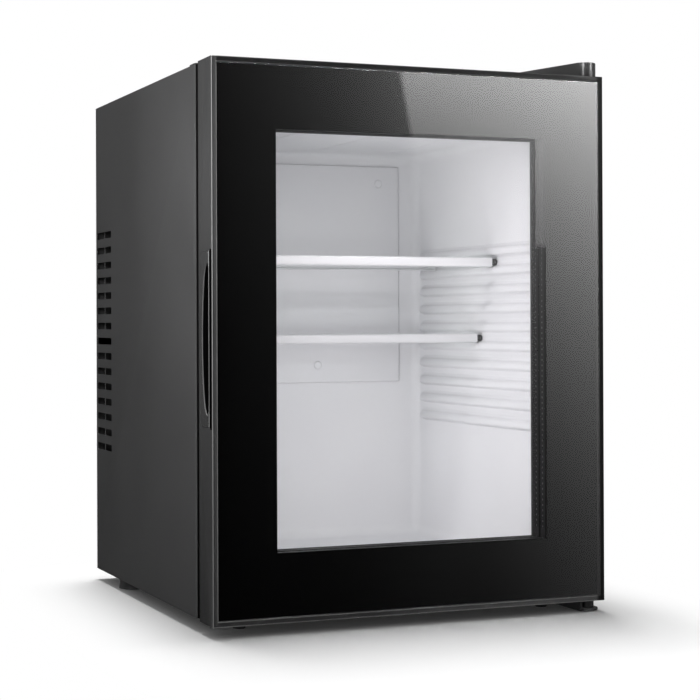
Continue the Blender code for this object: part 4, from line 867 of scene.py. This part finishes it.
SLOT_RIM, LIP_EDGE = (DOOR_SIDE + 0.00005, DOOR_SIDE + 0.0002), (SLOT_FRONT + 0.0001, SLOT_FRONT + 0.0004)
grip_middle = (GRIP_LOW.z + GRIP_HIGH.z) / 2
front_edge, rear_edge = [], []
for k in range(SLOT_POINTS + 1):
    share = -math.cos(math.pi * k / SLOT_POINTS)
    round_end = math.sqrt(max(0.0, 1.0 - share**END_FULLNESS))
    bow = SLOT_END_BOW + (SLOT_BOW - SLOT_END_BOW) * (1.0 - share**2)
    tip = SLOT_FRONT + END_LEAN * SLOT_END_BOW * (1.0 - round_end)
    front_edge.append((tip, grip_middle + SLOT_HALF * share))
    rear_edge.append((tip + bow * round_end, grip_middle + SLOT_HALF * share))
slot_outline = front_edge + rear_edge[-2:0:-1]
slot_ends = (DOOR_SIDE - SLOT_OVERCUT, DOOR_SIDE + SLOT_DEPTH)
slot_sections = [[(x, y, z) for y, z in slot_outline] for x in slot_ends]


def grip_painted_shade(made):
    """Painted shade: the slot's inside and the front wall of the grip's lip are painted black."""
    return made.place("X").rise(*SLOT_INSIDE).or_more(made.place("Y").fall(*LIP_WALL))


def grip_painted_highlights(made):
    """Painted highlights on the rim of the slot and the narrow lip before it."""
    return made.place("X").rise(*SLOT_RIM).or_more(made.place("Y").fall(*LIP_EDGE))


# The grip's finish carries painted shade in its slot and painted highlights on its rim and lip.
grip_plastic = finish(
    "grip_plastic", (0.019, 0.019, 0.0192), (0.023, 0.023, 0.0233), 0.20, 1500.0, 200.0, 0.04,
    deep=grip_painted_shade, painted_highlight=grip_painted_highlights,
)
grip = cut_away(merged_copy("handle_insert"), lofted("grip_slot", slot_sections), grip_plastic)
grip = bevelled(grip, "finger_grip", 0.0007, grip_plastic, 3)
ride_on(grip, "door", "black_plastic", "handle_insert")

# The door's glass is a clear front pane with a black print behind its border, and two more panes behind
# spacers. A film over the window part of the front pane mirrors less than the bare glass over the print does.
# It ends short of the window's upper right edge.
WINDOW_HALF, WINDOW_BOTTOM, WINDOW_TOP = 0.1372, 0.0738, 0.4582
FILM_GLOSS, FILM_EDGE, FILM_RIGHT, FILM_STEP = 0.38, 0.0004, 0.1255, (0.351, 0.359)
PANE_HALF, RIM_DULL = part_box("front_glass")[1].x, 0.7
PANE_RIM = (PANE_HALF - 0.0007, PANE_HALF - 0.0003)


def sheet_glass(name, passes, index, film=False):
    """Thin clear glass: light goes straight through it, and only its outer faces mirror."""
    made = Surface(name)
    behind = made.add("ShaderNodeNewGeometry", output="Backfacing")
    mirror = made.add("ShaderNodeFresnel", {}, {"IOR": index}) * (1.0 - behind)
    if film:
        side, up = made.place("X"), made.place("Z")
        inside = side.unsigned().fall(WINDOW_HALF - FILM_EDGE, WINDOW_HALF)
        inside = inside * up.rise(WINDOW_BOTTOM, WINDOW_BOTTOM + FILM_EDGE)
        inside = inside * up.fall(WINDOW_TOP - FILM_EDGE, WINDOW_TOP)
        bare = side.rise(FILM_RIGHT, FILM_RIGHT + FILM_EDGE) * up.rise(*FILM_STEP)
        mirror = mirror * (1.0 - (1.0 - FILM_GLOSS) * inside * (1.0 - bare))
        mirror = mirror * (1.0 - RIM_DULL * side.unsigned().rise(*PANE_RIM))
    tint = made.blend(made.noise(5.0), passes, tuple(0.5 * v + 0.5 for v in passes))
    clear = made.add("ShaderNodeBsdfTransparent", {}, {"Color": tint})
    gloss = made.add("ShaderNodeBsdfAnisotropic", {}, {"Color": grey(1.0), "Roughness": 0.02})
    return made.end(made.add("ShaderNodeMixShader", {}, {0: mirror, 1: clear, 2: gloss}))


front_pane = sheet_glass("front_pane_glass", (0.985, 0.982, 0.985, 1.0), 1.5, True)
inner_pane = sheet_glass("inner_pane_glass", (0.985, 0.982, 0.985, 1.0), 1.16)
panes = [rounded_edges("front_glass", "outer_pane", "door", "clear_glass", 0.0004, front_pane)]
panes.append(rounded_edges("middle_glass", "middle_pane", "door", "clear_glass", ROUND, inner_pane))
panes.append(rounded_edges("inner_glass", "inner_pane", "door", "clear_glass", ROUND, inner_pane))
lights_only(mirrored_tent, panes)
lights_only(dim_tent, panes, "EXCLUDE")
black_print = finish(
    "black_glass_print", (0.0006, 0.0006, 0.0007), (0.0012, 0.0012, 0.0013), 0.6, Specular_IOR_Level=0.0
)
rounded_edges("glass_border_print", "border_print", "door", "black_print", 0.00005, black_print)

# Two dark spacer bars keep the panes apart. A row of fine holes in each lets the drying grains breathe, and
# plastic keys join the bars at the corners.
dark_spacer = finish(
    "dark_spacer_metal", (0.0022, 0.0022, 0.0024), (0.0045, 0.0045, 0.0048), 0.45, 1500.0, 200.0, 0.1,
    (1.0, 1.0, 0.1), Specular_IOR_Level=0.03,
)
spacer_key = finish(
    "spacer_key_plastic", (0.0016, 0.0016, 0.0016), (0.003, 0.003, 0.003), 0.5, Specular_IOR_Level=0.1
)
spacer_grain = finish("spacer_grain", (0.05, 0.05, 0.05), (0.16, 0.16, 0.16), 0.7, 3000.0)
HOLE_PITCH, HOLE_LENGTH, HOLE_WIDTH, HOLE_RISE = 0.0052, 0.0016, 0.0009, 0.00008
KEY_LENGTH, KEY_PROUD, KEY_SINK, KEY_MARGIN = 0.0095, 0.00006, 0.003, 0.0002


def block(low, high):
    """The eight corners of a box as the two outlines of a lofted solid."""
    around = ((0, 0), (1, 0), (1, 1), (0, 1))
    return [[((low[0], high[0])[i], y, (low[2], high[2])[j]) for i, j in around] for y in (low[1], high[1])]


def quad(tree, width, height):
    """A rectangle of curve, as wide and high as two of the tree's sizes."""
    sides = {"Width": tree.size(width), "Height": tree.size(height)}
    return tree.add("GeometryNodeCurvePrimitiveQuadrilateral", {}, sides)


def stood_up(tree, shape):
    """A shape that lies flat, turned upright and moved to the tree's centre."""
    turn = {"Geometry": shape, "Rotation": (math.pi / 2, 0.0, 0.0), "Translation": tree.size("centre")}
    return tree.add("GeometryNodeTransform", {}, turn)


window_middle = (WINDOW_BOTTOM + WINDOW_TOP) / 2
hole_row = Growth("hole_row", width=0.27, height=0.38, pitch=0.005, centre=(0.0, 0.0, 0.0))
spacing = {"Curve": quad(hole_row, "width", "height"), "Length": hole_row.size("pitch")}
loop = hole_row.add("GeometryNodeResampleCurve", {"mode": "LENGTH"}, spacing)
facing = hole_row.add("GeometryNodeInputTangent")
facing = hole_row.add(
    "FunctionNodeAlignRotationToVector", {"axis": "X", "pivot_axis": "Z"}, {"Vector": facing}
)
holes = {"Points": loop, "Instance": hole_row.size("start"), "Rotation": facing}
holes = hole_row.add("GeometryNodeInstanceOnPoints", {}, holes)
holes = hole_row.add("GeometryNodeRealizeInstances", {}, {"Geometry": holes})
hole_row.end(stood_up(hole_row, holes))
for where in ("front", "rear"):
    node = f"spacer_frame_{where}"
    rounded_edges(node, f"{where}_spacer_bar", "door", "aluminium", ROUND, dark_spacer)
    low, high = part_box(node)
    half = (HOLE_LENGTH / 2, HOLE_RISE / 2, HOLE_WIDTH / 2)
    hole = lofted("spacer_hole", block([-v for v in half], half))
    hole_row.run(
        f"{where}_spacer_holes", hole, spacer_grain, "door", "aluminium",
        width=2 * WINDOW_HALF, height=WINDOW_TOP - WINDOW_BOTTOM, pitch=HOLE_PITCH,
        centre=(0.0, (low.y + high.y) / 2, window_middle),
    )
    keys = []
    for x in (-1, 1):
        for edge, away in ((WINDOW_BOTTOM, 1), (WINDOW_TOP, -1)):
            left, right = sorted((x * (WINDOW_HALF - KEY_PROUD), x * (WINDOW_HALF + KEY_SINK)))
            bottom, top = sorted((edge - away * KEY_SINK, edge + away * KEY_LENGTH))
            keys.append(block((left, low.y + KEY_MARGIN, bottom), (right, high.y - KEY_MARGIN, top)))
    made = shown_piece(f"{where}_corner_keys", lofted("corner_keys", *keys), spacer_key)
    ride_on(made, "door", "black_plastic")

# A rubber bead holds the rear pane, and a magnetic gasket closes the gap to the cabinet. It is one extrusion,
# welded at the corners: a tube round the magnet, a soft lip outside it and a thin fold between the two.
seal_rubber = finish("seal_rubber", (0.014, 0.014, 0.0142), (0.020, 0.020, 0.0203), 0.55, 1400.0, 250.0, 0.2)
SEAL_CORNER = 0.004
sweep = Growth(
    "seal_sweep", width=0.3, height=0.4, corner=0.005, thick=0.004, deep=0.004, soft=0.001,
    centre=(0.0, 0.0, 0.0),
)


def filleted(curve, steps, radius):
    corners = {"Curve": curve, "Count": steps, "Radius": sweep.size(radius)}
    return sweep.add("GeometryNodeFilletCurve", {"mode": "POLY"}, corners)


curves = {
    "Curve": filleted(quad(sweep, "width", "height"), 5, "corner"),
    "Profile Curve": filleted(quad(sweep, "thick", "deep"), 4, "soft"),
}
sweep.end(stood_up(sweep, sweep.add("GeometryNodeCurveToMesh", {}, curves)))


def seal(name, node, inset, thick, front, back, soft, *stands_for):
    """A seal that runs round the door at an inset from the outside of a CAD part."""
    low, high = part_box(node)
    inner = inset + thick / 2
    return sweep.run(
        name, bpy.data.meshes.new(name), seal_rubber, "door", "gasket_rubber", *stands_for, smooth=50.0,
        width=high.x - low.x - 2 * inner, height=high.z - low.z - 2 * inner, corner=SEAL_CORNER,
        thick=thick, deep=back - front, soft=soft, centre=(0.0, (front + back) / 2, (low.z + high.z) / 2),
    )


low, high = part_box("glazing_bead")
seal("pane_bead", "glazing_bead", 0.0, 0.0080, low.y, high.y, 0.0014, "glazing_bead")
GASKET_FRONT, LIP_BACK, FOLD_FRONT, FOLD_GAP = -0.16775, -0.16520, -0.16560, 0.0002
low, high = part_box("door_gasket")
seal("gasket_lip", "door_gasket", 0.0, 0.0120, GASKET_FRONT, LIP_BACK, 0.0011, "door_gasket")
seal("gasket_tube", "door_gasket", 0.0125, 0.0115, GASKET_FRONT, high.y, 0.0016)
seal("gasket_fold", "door_gasket", 0.0075, 0.0022, FOLD_FRONT, high.y - FOLD_GAP, 0.0009)

# Each shelf is a pane of toughened glass with a white plastic edging pushed on its front and back. A black
# plastic clip closes either end of the front edging. A soft lamp of their own lights the edgings.
EDGING_ROUND, CLIP_FRONT, CLIP_BACK = 0.0018, 0.0010, 0.0090
CLIP_STATIONS = ((-0.0006, 0.0034), (0.0044, 0.0034), (0.0062, 0.0018))
shelf_glass = sheet_glass("shelf_glass", (0.95, 0.97, 0.96, 1.0), 1.3)
edging_plastic = finish(
    "shelf_edging_plastic", (0.67, 0.675, 0.69), (0.71, 0.715, 0.73), 0.40, 700.0, 45.0, 0.05
)
clip_plastic = finish("shelf_clip_plastic", (0.018, 0.018, 0.018), (0.030, 0.030, 0.030), 0.35)
edgings = []
for shelf in ("upper", "lower"):
    body = f"{shelf}_shelf"
    rounded_edges(f"{shelf}_shelf_glass", f"{shelf}_shelf_pane", body, "clear_glass", ROUND, shelf_glass)
    for edge in ("front", "rear"):
        node, name = f"{shelf}_shelf_{edge}_trim", f"{shelf}_shelf_{edge}_edging"
        edgings.append(rounded_edges(node, name, body, "white_plastic", EDGING_ROUND, edging_plastic, 4))
    low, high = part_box(f"{shelf}_shelf_front_trim")
    front, back, middle_z = low.y + CLIP_FRONT, low.y + CLIP_BACK, (low.z + high.z) / 2
    clip = []
    for reach, rise in CLIP_STATIONS:
        x, bottom, top = high.x + reach, middle_z - rise, middle_z + rise
        clip.append([(x, front, bottom), (x, back, bottom), (x, back, top), (x, front, top)])
    clips = lofted("shelf_clips", clip, mirrored(clip))
    ride_on(shown_piece(f"{shelf}_shelf_clips", clips, clip_plastic), body, "black_plastic")
edging_light = lamp(
    "edging_light", spot=(0.02, -0.158, 0.29), target=(0.02, 0.0, 0.29), sides=(0.28, 0.16), power=0.20
)
lights_only(edging_light, edgings)
lights_only(window_light, edgings, "EXCLUDE")
